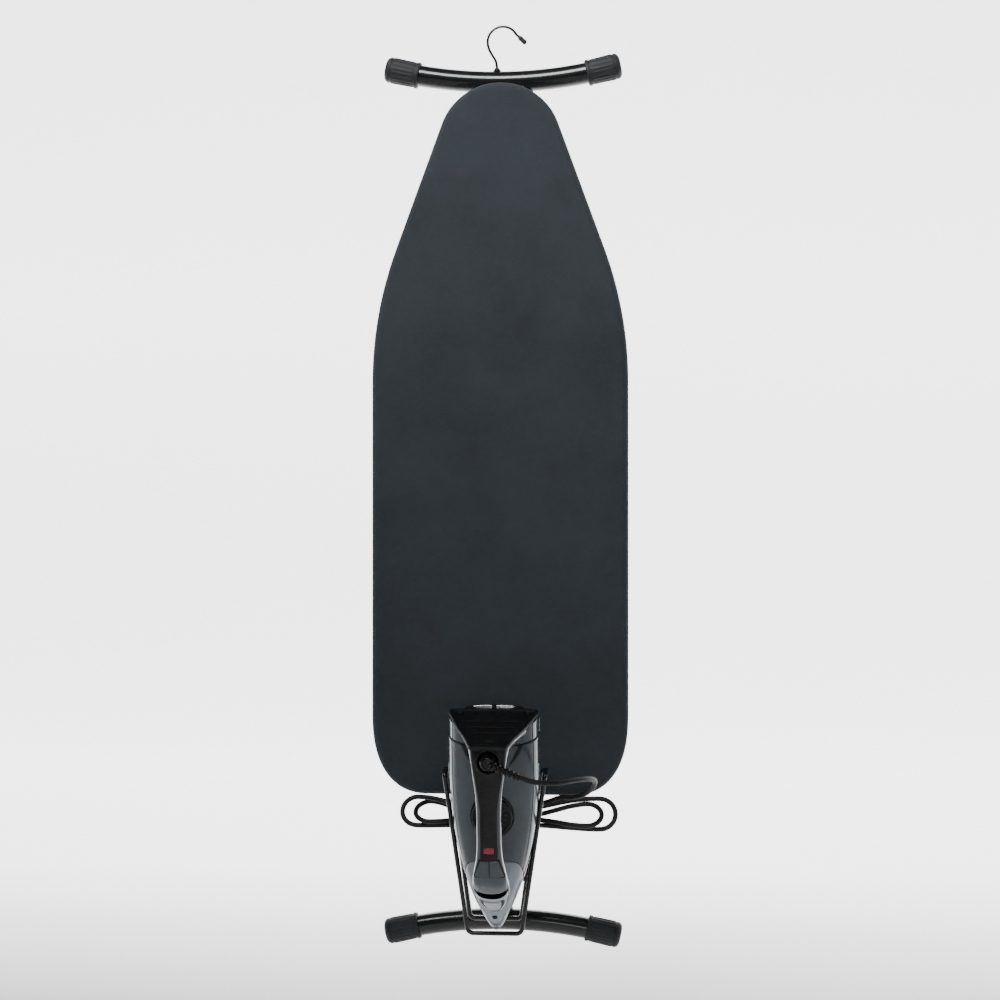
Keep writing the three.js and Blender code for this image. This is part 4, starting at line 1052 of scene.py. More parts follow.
def build_legs():
    s = Shape()
    pipe(s, 0, FOOT_A_Z - 2, PIVOT_Z + 14, LEG_A_R, False)
    weld_ring(s, 0, FOOT_A_Z, -1, LEG_A_R)
    s.make("leg_a_pipe", BLACK_COAT, body="leg_a", node="leg_a_tube")
    r = LEG_A_R
    plug = [(0, 0), (r + 0.2, 0), (r + 0.4, 0.5), (r + 0.2, 2.4), (9.6, 4.0), (7, 4.7), (0, 4.9)]
    s = Shape().lathe(plug, at_set(0, LEG_Y, PIVOT_Z + 14.1), UP)
    s.make("leg_a_end_plug", BLACK_PLASTIC, body="leg_a", node="leg_a_plug")
    glide = [(5.3, 0), (8.2, 0), (9, 0.8), (9, 1.6), (8.4, 2.2)]
    glide += [(r, 5.6 - t) for r, t in ((8.4, 2.2), (9, 1.6), (9, 1.0), (8.2, 0.2), (5.3, 0.2))] + [(5.3, 0)]
    pin = [(0, 0), (6.4, 0), (7, 0.6), (7, 5.4), (6.4, 6.1), (5, 6.1), (5, 44.2), (4.2, 45), (0, 45)]
    spacer = [(4.3, 0), (6.4, 0), (7, 0.6), (7, 6.3), (6.4, 6.9), (4.3, 6.9), (4.3, 0)]
    for word, side in (("left", -1), ("right", 1)):
        s = Shape()
        pipe(s, side * LEG_B_X, SLIDER_Z - 12, FOOT_B_Z + 2, LEG_B_R, True)
        weld_ring(s, side * LEG_B_X, FOOT_B_Z, 1, LEG_B_R)
        s.make(f"leg_b_pipe_{word}", BLACK_COAT, body="leg_b", node=f"leg_b_tube_{word}")
        turned(f"glide_wheel_{word}", glide, 48.6, side, SLIDER_Z, BLACK_PLASTIC, f"glide_{word}")
        name = f"slide_pin_{word}"
        turned(name + "_turned", pin, LEG_A_R + 1.1, side, SLIDER_Z, ZINC, name)
        name = f"spacer_{word}"
        turned(name + "_ring", spacer, LEG_A_R + 0.3, side, CENTRE_Z, BLACK_PLASTIC, name)
    build_foot("a", FOOT_A_Z, -1)
    build_foot("b", FOOT_B_Z, 1)
    outer = LEG_B_X + LEG_B_R + 0.3
    end = 2 * outer + 8
    shank = [(0, 0), (4, 0), (4, end - 0.8), (3.2, end), (0, end)]
    s = Shape().lathe(shank, at_set(-outer, LEG_Y, CENTRE_Z), (1, 0, 0), sides=32)
    hexagon(s, -outer - 4.8, -outer - 0.8, 13, LEG_Y, CENTRE_Z)
    washer = [(7.4, 0), (7.6, 0.2), (7.6, 0.7)]
    s.lathe([(4, 0), *washer, (4, 0.7)], at_set(-outer - 0.75, LEG_Y, CENTRE_Z), (1, 0, 0), sides=40)
    s.make("centre_bolt_hex", ZINC, body="leg_b", node="centre_bolt", sharp=28)
    s = Shape()
    hexagon(s, outer + 0.9, outer + 6.4, 13, LEG_Y, CENTRE_Z)
    s.lathe([(4.2, 0), *washer, (4.2, 0.7)], at_set(outer + 0.1, LEG_Y, CENTRE_Z), (1, 0, 0), sides=40)
    s.make("centre_nut_hex", ZINC, body="leg_b", node="centre_nut", sharp=28)
    rivet = [(0, 0), (3.5, 0.1), (5.6, 0.5), (6.4, 1.2), (6.5, 2), (4, 2)]
    rivet += [(4, 31), (6.5, 31), (6.4, 31.8), (5.6, 32.5), (0, 33)]
    s = Shape().lathe(rivet, at_set(-16.5, LEG_Y, PIVOT_Z), (1, 0, 0))
    s.make("pivot_pin_rivet", ZINC, body="board", node="pivot_pin", sharp=32)


def build_release():
    """The height lever on its pin between the rails, with its return spring."""
    half = 34
    hub = [(3.3, 0), (5.6, 0), (6, 0.4), (6, 2 * half - 0.4), (5.6, 2 * half), (3.3, 2 * half), (3.3, 0)]
    s = Shape().lathe(hub, at_set(-half, LEVER_Y, LEVER_Z), (1, 0, 0))

    def plate(outline, reach):
        s.prism(outline, lambda a, b, x: at_set(x, LEVER_Y + a, LEVER_Z + b), -reach, reach)

    plate([(-5.4, 2), (-6.6, 21), (-7.0, 22), (-8.2, 22), (-8.6, 21), (-8.6, 0), (-4, -4)], 22)
    front = [(-2, -4), (0.6, -16), (2.6, -28), (4.0, -39), (3.9, -42), (2.9, -43.9)]
    plate(front + [(1.3, -44), (0.5, -42.6), (-0.8, -30), (-2.9, -14), (-4.5, -4)], half)
    grip = [(0, 0), (0.8, 0.3), (0.8, 2 * half - 10.3), (0, 2 * half - 10)]
    for k in range(5):
        place = at_set(-half + 5, LEVER_Y + 2.2 + k * 0.35, LEVER_Z - 24 - k * 3.6)
        s.lathe(grip, place, (1, 0, 0), sides=12)
    s.make(
        "release_lever_paddle", BLACK_PLASTIC, body="release_lever", node="release_lever", bevel=0.5, sharp=32
    )
    rivet = [(0, 0), (3.6, 0.1), (4.7, 0.6), (5, 1.4), (5, 2.2), (3, 2.2)]
    rivet += [(3, 99.1), (5, 99.1), (5, 99.9), (4.7, 100.7), (3.6, 101.2), (0, 101.3)]
    s = Shape().lathe(rivet, at_set(-50.6, LEVER_Y, LEVER_Z), (1, 0, 0), sides=40)
    s.make("lever_pin_rivet", ZINC, body="board", node="lever_pin", sharp=32)
    coil = [(half + 1.0, 5, -11), (half + 1.2, 5, -5)]
    for i in range(127):
        a = TAU * i / 28
        coil.append((half + 1.4 + i / 28 * 1.75, 5 * math.cos(a), 5 * math.sin(a)))
    x, y, z = coil[-1]
    coil += [(x, y, z + 5), (x, y - 3, z + 12)]
    s = Shape().tube([at_set(x, LEVER_Y + y, LEVER_Z + z) for x, y, z in coil], 0.7, sides=12)
    s.make("lever_return_spring", ZINC, body="board", node="lever_spring", sharp=60)


WIRE_R, LOOP_R, LOOP_Z, STEM_X = 1.75, 20.2, 990.8, -7.7


def build_hook():
    tube_top = FOOT_B_Z + FOOT_R
    key = [(STEM_X, tube_top - 8), (STEM_X, tube_top + 1), (STEM_X - 0.1, tube_top + 5)]
    key += [(-9.3, LOOP_Z - 25.8), (-13.7, LOOP_Z - 18.1), (-18.4, LOOP_Z - 9.3)]
    for a in spaced(math.radians(186), math.radians(30), 12):
        key.append((LOOP_R * math.cos(a), LOOP_Z + LOOP_R * math.sin(a)))
    key += [(22.9, LOOP_Z + 4.9), (28.5, LOOP_Z - 0.5)]
    path = spline([at_set(x, LEG_Y, z) for x, z in key], 150)
    s = Shape().tube(path, WIRE_R)
    stop = [(0, 0), (3.2, 0), (3.4, 0.3), (3.4, 2.7), (3.2, 3), (0, 3)]
    s.lathe(stop, at_set(STEM_X, LEG_Y, tube_top - 9.5), UP, sides=32)
    s.make("hook_bent_wire", BLACK_COAT, body="hook", node="hook_wire", sharp=45)
    along = (path[-1] - path[-4]).normalized()
    tip = [(2.05, 2.0), (2.05, 0.3), (2.7, 0), (3.0, 0.4), (3.1, 1.4), (3.1, 9.8), (2.9, 11.0), (2.2, 11.9)]
    s = Shape().lathe(tip + [(1.1, 12.3), (0, 12.4)], path[-1] - along * 9 * MM, along, sides=32)
    s.make("hook_tip_sleeve", CAP_RUBBER, body="hook", node="hook_tip", sharp=40)
    collar = [
        (2.3, 0.3), (5.0, 0.3), (5.4, 0.7), (5.1, 1.5), (4.0, 2.6), (3.4, 4.0), (3.0, 4.6), (2.3, 4.6),
        (2.3, 0.3)
    ]
    s = Shape().lathe(collar, at_set(STEM_X, LEG_Y, tube_top - 0.3), UP, sides=40)
    s.make("hook_flared_collar", BLACK_PLASTIC, body="leg_b", node="hook_collar", sharp=40)


build_legs()
build_release()
build_hook()


# ------------------------------------------------------------------ wire cage
ROD_R = 3
FRONT_H, FRONT_U, FRONT_X = 16, (-4, 205), 63.8
REAR_H, REAR_U, REAR_BEND_U = -3.6, 9.1, 191
FRONT_LOW, REAR_LOW, REAR_HIGH = (-36.4, 31.9), (-35.0, 30.6), (-57.0, 55.0)
BAR_U = 62


def rod(name, path, node, welds=()):
    """One bent rod of the cage with the welds that hold it, each a centre and its half extents."""
    s = Shape().tube(path, ROD_R, sides=32)
    for centre, size in welds:
        rings = []
        for t in spaced(0, math.pi, 12):
            ring = []
            for a in circle(20):
                ripple = 1 + 0.07 * math.sin(7 * t + 2 * math.cos(a))
                way = (math.sin(t) * math.cos(a), math.sin(t) * math.sin(a), math.cos(t))
                ring.append(centre + Vector([w * reach for w, reach in zip(way, size)]) * ripple * MM)
            rings.append(ring)
        s.poled(rings)
    s.make(name, BLACK_COAT, body="board", node=node, sharp=45)


def build_cage():
    u0, u1 = FRONT_U
    right = [
        at_iron(FRONT_X, REAR_H - 2, u1), at_iron(FRONT_X, FRONT_H, u1), at_iron(FRONT_LOW[1], FRONT_H, u0)
    ]
    left = [
        at_iron(FRONT_LOW[0], FRONT_H, u0), at_iron(-FRONT_X, FRONT_H, u1), at_iron(-FRONT_X, REAR_H - 2, u1)
    ]
    joints = [(at_iron(side * (FRONT_X - 3.1), REAR_H, u1 - 0.5), (3.6, 2.6, 3.0)) for side in (-1, 1)]
    rod("cage_front_rod", bent(right + left, 8 * MM), "cage_front_loop", joints)
    touch = FRONT_X - 2 * ROD_R - 0.3
    rear = [(touch, u1 - 1), (REAR_HIGH[1], REAR_BEND_U), (REAR_LOW[1], REAR_U)]
    rear += [(REAR_LOW[0], REAR_U), (REAR_HIGH[0], REAR_BEND_U), (-touch, u1 - 1)]
    rod("cage_rear_rod", bent([at_iron(x, REAR_H, u) for x, u in rear], 7 * MM), "cage_rear_loop")
    share = (BAR_U - REAR_U) / (REAR_BEND_U - REAR_U)
    x0 = lerp(REAR_LOW[0], REAR_HIGH[0], share) + ROD_R - 0.8
    x1 = lerp(REAR_LOW[1], REAR_HIGH[1], share) - ROD_R + 0.8
    welds = [(at_iron(x, REAR_H, BAR_U), (1.6, 3.4, 3.4)) for x in (x0, x1)]
    rod("cage_cross_rod", [at_iron(x, REAR_H, BAR_U) for x in (x0, 0, x1)], "cage_crossbar", welds)
    for word, x in (("left", -42), ("right", 42)):
        route = [at_set(x, -54.85, -39.6), at_set(x, 13, -39.6), at_set(x, 13, 122)]
        weld = [(at_set(x, -54.4, -39.6), (4.0, 2.6, 4.2))]
        weld += [(at_set(x + d, 10.4, z), (1.8, 1.2, 6)) for z in (52, 110) for d in (-2.4, 2.4)]
        rod(f"cage_arm_{word}_rod", bent(route, 10 * MM), f"cage_arm_{word}", weld)


build_cage()


# ------------------------------------------------------------------ iron: housing
SOLE_HALF, SOLE_FULL, IRON_LENGTH, HEEL_LEAN = 58.5, 250, 290, math.tan(math.radians(12))
HEEL_BOW = 8.3  # how far the sole's heel edge bows out
GROOVE_TURN = 0.53  # where round the section the tank's lid meets its side wall
# Height of the tank and half width of the heel plate: (u, h) and (h, x) pairs.
TANK_TOP = [
    (0, 11), (6, 18), (14, 27), (24, 36), (36, 46), (48, 53), (62, 57), (90, 58), (242, 58), (276, 60)
]
HEEL_HALF = [
    (11, 52), (14, 56), (20, 56.3), (27, 54.3), (47, 48), (67, 41), (85, 33.3), (105, 26.5), (117, 22.5)
]


def sole_half(u):
    u_in = max(u, 0)
    side = SOLE_HALF * (1 - max(0.0, 1 - u / SOLE_FULL) ** 2.8) ** 0.97 if u > 0 else 0
    side += 5.2 * math.sqrt(1 - math.exp(-u_in / 5)) * math.exp(-u_in / 28)
    over = clamp(u - (IRON_LENGTH - 14), 0, 14)
    return side - (14 - math.sqrt(14 * 14 - over * over)) * 0.8


def dome(u, a, grow=0.0):
    """A point of the housing: u along it, a round its section from the right flank over the top."""
    base = 14.0
    half = max(sole_half(min(u, IRON_LENGTH - 14)) - 0.6, 1.2) + grow
    top = max(look_up(TANK_TOP, u) + grow, base + 0.5)
    x = squared(a, 2 / 2.3, half)[0]
    h = base + (top - base) * max(math.sin(a), 0) ** (2 / 2.6)
    return x, h, u - h * HEEL_LEAN * smoothstep(u, 160, 262)


def seam_u(a):
    """The nose cover's rear edge runs back from the flanks up to the handle."""
    return 72 + 32 * smoothstep(math.sin(a), 0.1, 0.95)


def shell(name, low_u, high_u, material, rows, node=None, grow=0.0, tip=False, groove=0.0):
    """A stretch of the housing between two edges, which are functions of the turn round the section."""
    lines = [(GROOVE_TURN + d, groove * (abs(d) < 0.02)) for d in (-0.024, -0.012, 0.012, 0.024)]
    section = [(math.pi * k / 84, 0) for k in range(85)]
    section = [(a, g) for a, g in section if abs(abs(a - math.pi / 2) - math.pi / 2 + GROOVE_TURN) > 0.03]
    section = sorted(section + lines + [(math.pi - a, g) for a, g in lines])
    inward = [(0, -3.2), (0, -0.7), (0.22, -0.2), (0.75, 0)]
    levels = [] if tip else [(0, d, g) for d, g in inward]
    levels += [(t / rows, 0, 0) for t in range(0 if tip else 1, rows)]
    levels += [(1, -d, g) for d, g in reversed(inward)]
    rings = []
    for t, shift, sink in levels:
        t = t**1.6 if tip else t
        rings.append(
            [at_iron(*dome(lerp(low_u(a), high_u(a), t) + shift, a, grow + sink - cut)) for a, cut in section]
        )
    obj = Shape().rings(rings, closed=False, caps=False).make(name, material, sharp=40)
    thicken(obj, 1.6, 40)
    finish_piece(obj, "iron", node)


def sole_outline(inset):
    """(x, u) round the sole, its heel edge bowed outwards."""
    corner_u = IRON_LENGTH - 15
    right = []
    for k in range(57):
        u = 0.4 + (corner_u - 0.4) * (k / 56) ** 1.7
        right.append((sole_half(u), u))
    corner = sole_half(corner_u)
    for a in spaced(0, math.pi / 2, 8)[1:]:
        right.append((corner - 15 + 15 * math.cos(a), corner_u + 10.5 * math.sin(a)))
    edge_x, edge_u = right[-1]
    for x in spaced(edge_x, 0, 8)[1:]:
        right.append((x, edge_u + HEEL_BOW * (1 - (x / edge_x) ** 4)))
    pts = right + [(-x, u) for x, u in right[-2::-1]]
    middle = Vector((0, 165))
    out = []
    for i, (x, u) in enumerate(pts):
        p = Vector((x, u))
        before, after = pts[i - 1], pts[(i + 1) % len(pts)]
        normal = Vector((after[1] - before[1], before[0] - after[0])).normalized()
        q = p - normal * (inset if normal.dot(p - middle) >= 0 else -inset)
        if u < 24:
            tip_x = math.copysign(abs(x) - inset * smoothstep(u, 0, 7), x)
            q = Vector((tip_x, u + inset * (1 - smoothstep(u, 2, 14)))).lerp(q, smoothstep(u, 8, 24))
        out.append((q.x, q.y))
    return out


def build_sole():
    levels = [
        (14, 0.0), (7, 0.0), (4.2, 0.15), (2.9, 0.7), (2.2, 1.7), (2, 3), (2, 6.4), (2.5, 7.0), (3.4, 7.3)
    ]
    plate = Shape().rings([[at_iron(x, h, u) for x, u in sole_outline(inset)] for inset, h in levels])
    plate.make("sole_polished", SOLE, body="iron", node="soleplate", sharp=50)
    # painted shade: near-black discs stand for the vent holes
    vents = Shape()
    spots = [(0, 22), (0, 52), (9, 66), (-9, 66), (0, 84), (14, 104), (-14, 104), (0, 124)]
    pairs = [(side * (sole_half(u) - 9), u) for u in range(34, 161, 21) for side in (1, -1)]
    vent = [(0, 0.05), (1.5, 0.05), (1.9, -0.02), (2.7, -0.12), (3.0, 0.0), (2.9, 0.3), (0, 0.3)]
    for x, u in pairs + spots:
        vents.lathe(vent, at_iron(x, 0, u), iron_way(0, -1, 0), sides=20)
    vents.make("sole_vent_shade", DARK_PLASTIC_AND_SHADE, body="iron", sharp=30)
    levels = [
        (3.4, 6.8), (2.6, 7.6), (2.4, 9.0), (2.8, 9.3), (3.4, 9.6), (3.4, 10.6), (2.8, 11.0), (2.6, 14.4)
    ]
    rings = []
    for inset, h in levels + [(6, 14.6)]:
        rings.append([at_iron(x, h, min(u, 288.0 - h * HEEL_LEAN)) for x, u in sole_outline(inset)])
    Shape().rings(rings).make("sole_skirt", BLACK_PLASTIC, body="iron", sharp=45)
    # The heel's lip covers the sole but for a crescent in the middle.
    end, heel_u, half, full = 279, IRON_LENGTH - 4.9, 42.5, 43.5
    edge = []
    for x in spaced(-half, half, 60):
        crescent = 288.2 + 5.4 * smoothstep(abs(x), 18, 37)
        edge.append((x, min(heel_u + HEEL_BOW * (1 - (x / full) ** 4), crescent)))
    lip = Shape().prism(edge + [(half, end), (-half, end)], lambda p, q, h: at_iron(p, h, q), 7.4, 11.6)
    lip.make("heel_lip", HEEL_PLASTIC, body="iron", sharp=45)
    nub = [(0, 0), (2.4, 0), (2.8, 0.4), (2.8, 5.4), (2.0, 6.4), (0, 6.7)]
    nub = Shape().lathe(nub, at_iron(0, 9.4, 287.4), iron_way(0, 0.12, 1), sides=28)
    nub.make("heel_nub", HEEL_PLASTIC, body="iron", sharp=40)


def build_housing():
    shell("nose_shell", lambda a: 0.15, lambda a: seam_u(a) - 0.3, NOSE_GREY, 46, "nose_cover", tip=True)
    shell("tank_shell", lambda a: seam_u(a) + 0.3, lambda a: 263.6, GREY_GLOSS, 60, "water_tank", groove=0.8)
    shell("rear_shell", lambda a: 264.4, lambda a: 286.4, GREY_GLOSS, 16, grow=-1.1, groove=0.8)
    refine("steam_chamber", ZINC, 1.0)
    # Near-black strips on the tank beside the handle's rear pillar are painted shade, for the dark gap under
    # the pillar.
    shade_strips, window = Shape(), Shape()
    for side in (1, -1):
        rings = []
        for t in spaced(0, 1, 18):
            u = lerp(236.5, 263.2, t)
            near, wide = lerp(21.5, 33.5, t**1.1), 0.3 + 6.0 * math.sin(min(t * 1.5, 1) * math.pi / 2)
            ring = []
            for share, lift in (
                (0, 0.0), (0.1, 0.35), (0.5, 0.45), (0.9, 0.35), (1, 0.0), (0.9, -0.9), (0.1, -0.9)
            ):
                a = math.acos(clamp((near + wide * share) / sole_half(u)) ** 1.15)
                ring.append(at_iron(*dome(u, a if side > 0 else math.pi - a, lift)))
            rings.append(ring)
        shade_strips.rings(rings)
        rings = []
        for t, swell in ((0, 0.05), (0.04, 0.4), (0.5, 0.55), (0.96, 0.4), (1, 0.05)):
            ring = []
            for k, a in enumerate(spaced(0.16, 0.27, 8)):
                lift = 0.1 if k in (0, 8) else swell
                ring.append(at_iron(*dome(lerp(204, 228, t), a if side > 0 else math.pi - a, lift)))
            rings.append(ring)
        window.rings(rings, closed=False, caps=False)
    shade_strips.make("pillar_painted_shade", DARK_PLASTIC_AND_SHADE, body="iron", sharp=40)
    glass = window.make("level_windows", TEAL, sharp=40)
    thicken(glass, 1.0, 40)
    finish_piece(glass, "iron")


# ------------------------------------------------------------------ iron: handle
# Stations along the handle's loop, from the nose up over the grip and down to the heel: outer (u, h),
# inner (u, h), half width outside, half width inside.
STATIONS = [
    ((30, 36), (84, 34), 10, 20), ((34.5, 44), (88, 42), 14, 21), ((41, 53.5), (91, 50), 17.8, 22),
    ((50, 65), (94, 59), 20.6, 22.4),
    ((59, 76), (96.5, 67.5), 22.4, 22.4), ((69, 87), (99, 75), 23.4, 21.5),
    ((80, 98), (102, 81.5), 23.6, 20.5), ((93, 108), (108, 87.5), 22.8, 18.8),
    ((108, 112.8), (118, 90.7), 20.2, 16.8), ((124, 114), (130, 92), 17.2, 15),
    ((145, 115.2), (147, 92.8), 16, 14), ((180, 116.7), (180, 93), 16, 14),
    ((205, 116.4), (203, 92.6), 17.5, 15), ((225, 115.6), (221, 91.4), 20.5, 16.5),
    ((246, 114.6), (236, 87), 23.5, 19), ((261, 112.2), (243, 80), 26, 22),
    ((267.2, 100), (246, 70), 28.6, 24.5), ((270.6, 86), (248, 60), 33.4, 27.5),
    ((273.8, 70), (249.5, 50), 40.0, 31.5), ((277.2, 52), (251, 38), 46.5, 37),
    ((280.4, 36), (253, 26), 51.8, 43), ((283, 22), (255, 16), 54.8, 49),
]


ROUND = 2.9  # squareness of the handle's section


def station_tables():
    """How far along the loop each station is, and one look-up table for each of its six numbers."""
    along = [0.0]
    for (a, *_), (b, *_) in zip(STATIONS, STATIONS[1:]):
        along.append(along[-1] + math.hypot(b[0] - a[0], b[1] - a[1]))
    columns = zip(*((*outer, *inner, wo, wi) for outer, inner, wo, wi in STATIONS))
    return along, [list(zip(along, column)) for column in columns]


ALONG, TABLES = station_tables()


def handle_surface(q, x_share, v_share):
    """x_share runs -1 to 1 across the section, v_share 0 at the inner side to 1 at the outer."""
    ou, oh, iu, ih, wo, wi = (look_up(t, q) for t in TABLES)
    return lerp(wi, wo, v_share) * x_share, lerp(ih, oh, v_share), lerp(iu, ou, v_share)


def outer_at(q, x):
    """A point of the handle's outer face at the given x in millimetres, and the way in from it."""
    ou, oh, iu, ih, wo, _ = (look_up(t, q) for t in TABLES)
    share = clamp(x / wo, -0.985, 0.985)
    v = 0.5 + 0.5 * (1 - abs(share) ** ROUND) ** (1 / ROUND)
    p = Vector((x, lerp(ih, oh, v), lerp(iu, ou, v)))
    return p, Vector((0, ih - oh, iu - ou)).normalized()


def q_of_u(u):
    """The place along the loop where the outer face's middle is at u."""
    low, high = 0.0, ALONG[-1]
    for _ in range(40):
        mid = (low + high) / 2
        if look_up(TABLES[0], mid) < u:
            low = mid
        else:
            high = mid
    return (low + high) / 2


MOUTH_Q, MOUTH_HALF, MOUTH_REACH = q_of_u(69), 7.6, 26
BUTTON_U = (101.5, 123.5)
TONGUE_Q = (q_of_u(38.8), q_of_u(58))
LAMP_U = 136.4
SOCKET_R = 12.9


def button_half(u):
    return lerp(18.4, 11.4, clamp((u - BUTTON_U[0]) / (BUTTON_U[1] - BUTTON_U[0])))


def mouth(x):
    """Where the mouth's middle lies along the loop at x, and half its height there."""
    span = min(abs(x) / 23.2, 1)
    return MOUTH_Q + 8 * span**2 + 5 * span**8, MOUTH_HALF * (1 - span**4) ** 0.6


def along_mouth(q, xs, vs):
    """Moves a place near the mouth, on the outer half of the section, so that rings run along its lips."""
    d = abs(q - MOUTH_Q)
    if d >= MOUTH_REACH:
        return q
    middle, half = mouth(handle_surface(q, xs, vs)[0])
    half = max(half, 0.5)
    if d < MOUTH_HALF:
        off = d * half / MOUTH_HALF
    else:
        off = lerp(half, MOUTH_REACH, (d - MOUTH_HALF) / (MOUTH_REACH - MOUTH_HALF))
    fade = 1 - smoothstep(d, MOUTH_HALF, MOUTH_REACH)
    moved = MOUTH_Q + math.copysign(off, q - MOUTH_Q) + (middle - MOUTH_Q) * fade
    return lerp(q, moved, smoothstep(vs, 0.5, 0.74))


def tongue_half(t):
    return lerp(6.4, 11.2, smoothstep(t, -0.15, 0.8)) * (1 - (1 - smoothstep(t, 0, 0.22)) * 0.32)


def bowl(r, less):
    """Depth of the round socket of the ball joint at a radius."""
    return math.sqrt(max((SOCKET_R + 1.2) ** 2 - r * r, 0)) - less


def carve(x, q, u):
    """How deep the handle's outer face is cut, and whether straight down: mouth, well and socket."""
    middle, half = mouth(x)
    if half > 0.4 and abs(q - middle) < half:
        return 9.5 * clamp((half - abs(q - middle)) / 0.1), True
    depth = 0.0
    if BUTTON_U[0] - 2 < u < BUTTON_U[1] + 2:
        inside = min(u - BUTTON_U[0] + 0.25, BUTTON_U[1] + 0.5 - u, button_half(u) + 0.9 - abs(x))
        depth = 5.2 * clamp(inside / 0.35)
    r = math.hypot(x, u - BALL_U)
    if r < SOCKET_R:
        depth = max(depth, bowl(r, 2.0))
    return depth, False


def handle_section(count, aspect):
    """Even points round the handle's section: share across, and share from its inner to its outer side."""
    even = resample([Vector((*squared(a, 2 / ROUND, aspect), 0)) for a in spaced(0, TAU, 1200)], count)
    return [(p.x / aspect, 0.5 + 0.5 * p.y) for p in even[:-1]]


def build_handle():
    section = handle_section(150, 1.5)
    q, stations = 0.0, []
    while q < ALONG[-1]:
        stations.append(q)
        u = look_up(TABLES[0], q)
        q += 0.55 if 36 < u < 126 else 0.9 if 228 < u < 262 else 1.6
    stations.append(ALONG[-1])
    lips = [MOUTH_Q + side * (MOUTH_HALF - d) for side in (-1, 1) for d in (0, 0.12)]
    stations = sorted([q for q in stations if all(abs(q - lip) > 0.2 for lip in lips)] + lips)
    rings = []
    for q in stations:
        ring = []
        for xs, vs in section:
            place = along_mouth(q, xs, vs)
            x, h, u = handle_surface(place, xs, vs)
            p = Vector((x, h, u))
            if vs > 0.72:
                depth, down = carve(x, place, u)
                way = Vector((0, -0.97, 0.24)) if down else outer_at(place, 0)[1]
                p += way * depth * smoothstep(vs, 0.72, 0.8)
            ring.append(at_iron(*p))
        rings.append(ring)
    s = Shape().rings(rings)
    # The nose half is light grey, its own colour, and the cuts are filled with painted shade in near-black.
    # Faces come ring by ring in the order of the section.
    index = 0
    for q0, q1 in zip(stations, stations[1:]):
        for xs, vs in section:
            q = along_mouth((q0 + q1) / 2, xs, vs)
            x, _, u = handle_surface(q, xs, vs)
            # painted shade in the mouth, button wells and socket bowl
            if vs > 0.76 and carve(x, q, u)[0] > 0.6:
                s.paints[index] = 2
            elif q < mouth(x)[0] and vs > 0.05:
                s.paints[index] = 1
            index += 1
    s.make("handle_shell", [GREY_GLOSS, NOSE_GREY, DARK_PLASTIC_AND_SHADE], body="iron", node="handle", sharp=42)


def patch(name, rows, columns, place, thick, material, body, node=None):
    """A thin crowned plate over the handle, closed below. place(i, j) gives a point and the way in."""
    top = [place(i, j) for i in range(rows + 1) for j in range(columns + 1)]
    points = [at_iron(*p) for p, _ in top] + [at_iron(*(p + way * thick)) for p, way in top]
    n, w = len(top), columns + 1
    faces = []
    for i in range(rows):
        for a in range(i * w, i * w + columns):
            b, c, d = a + 1, a + w + 1, a + w
            faces += [[a, b, c, d], [n + d, n + c, n + b, n + a]]
    rim = [j for j in range(columns)] + [i * w + columns for i in range(rows)]
    rim += [rows * w + j for j in range(columns, 0, -1)] + [i * w for i in range(rows, 0, -1)]
    for a, b in zip(rim, rim[1:] + rim[:1]):
        faces.append([a, b, n + b, n + a])
    Shape().add(points, faces).make(name, material, body=body, node=node, sharp=45)


def inlay(name, path, width):
    """A dark strip of painted shade on the handle's outer face through (x, place along the loop); width takes
    0 to 1.
    """
    rings = []
    last = len(path) - 1
    for k, (x, q) in enumerate(path):
        (x0, q0), (x1, q1) = path[max(k - 1, 0)], path[min(k + 1, last)]
        away = Vector((q0 - q1, x1 - x0)).normalized() * width(k / last)
        ring = []
        for share, lift in (
            (-0.5, -0.4), (-0.5, 0.05), (-0.38, 0.22), (0, 0.26), (0.38, 0.22), (0.5, 0.05), (0.5, -0.4)
        ):
            p, way = outer_at(q + away.y * share, x + away.x * share)
            ring.append(at_iron(*(p - way * lift)))
        rings.append(ring)
    Shape().rings(rings).make(name, DARK_PLASTIC_AND_SHADE, body="iron", sharp=50)


GRIP_HALF = [
    (124, 10.9), (128, 11.3), (145, 11.1), (180, 11.1), (205, 13.9), (225, 17.4), (246, 20.9), (262, 22.4), (
        270, 22.6
    )
]


def build_grip():
    rows, columns = 150, 44
    q0, q1 = q_of_u(125.2), q_of_u(264.0)

    def place(i, j):
        t, share = i / rows, 2 * j / columns - 1
        q = lerp(q0, q1, t)
        arch = 1.3 * (1 - share**2) * (1 - smoothstep(t, 0, 0.02))
        p, way = outer_at(q - arch, look_up(GRIP_HALF, look_up(TABLES[0], q)) * share)
        side = abs(share)
        ribbed = (
            1 - smoothstep(side, 0.5, 0.85)
        ) * smoothstep(p.z, 146, 156) * (1 - smoothstep(p.z, 214, 226))
        r = math.hypot(p.x, p.z - BALL_U)
        lift = 0.75 - 0.75 * smoothstep(side, 0.90, 1.0) ** 1.5 - 0.6 * (1 - smoothstep(t, 0.0, 0.008))
        lift += 0.16 * math.cos(p.z * TAU / 5.2) * ribbed
        lift += smoothstep(r, 12.9, 13.6) * (1 - smoothstep(r, 15.2, 16.2))
        lift -= 1 - smoothstep(max(abs(p.x) / 6.6, abs(p.z - LAMP_U) / 4.5), 0.96, 1.06)
        return p - way * (lift - (max(0.0, bowl(r, 3.0)) if r < SOCKET_R else 0)), way

    patch("grip_strip", rows, columns, place, 1.5, GRIP_PLASTIC, "iron", "grip_inlay")
    rings = []
    p, _ = outer_at(q_of_u(LAMP_U), 0)
    for t, inset in ((-1.5, 0), (0.2, 0), (0.55, 0.25), (0.8, 0.9), (0.9, 2.2)):
        ring = [squared(a, 0.55, 6.3 - inset, 4.2 - inset) for a in circle(48)]
        rings.append([at_iron(x, p.y + t, p.z + u) for x, u in ring])
    Shape().rings(rings).make("lamp_window", LENS, body="iron", node="pilot_lamp", sharp=45)


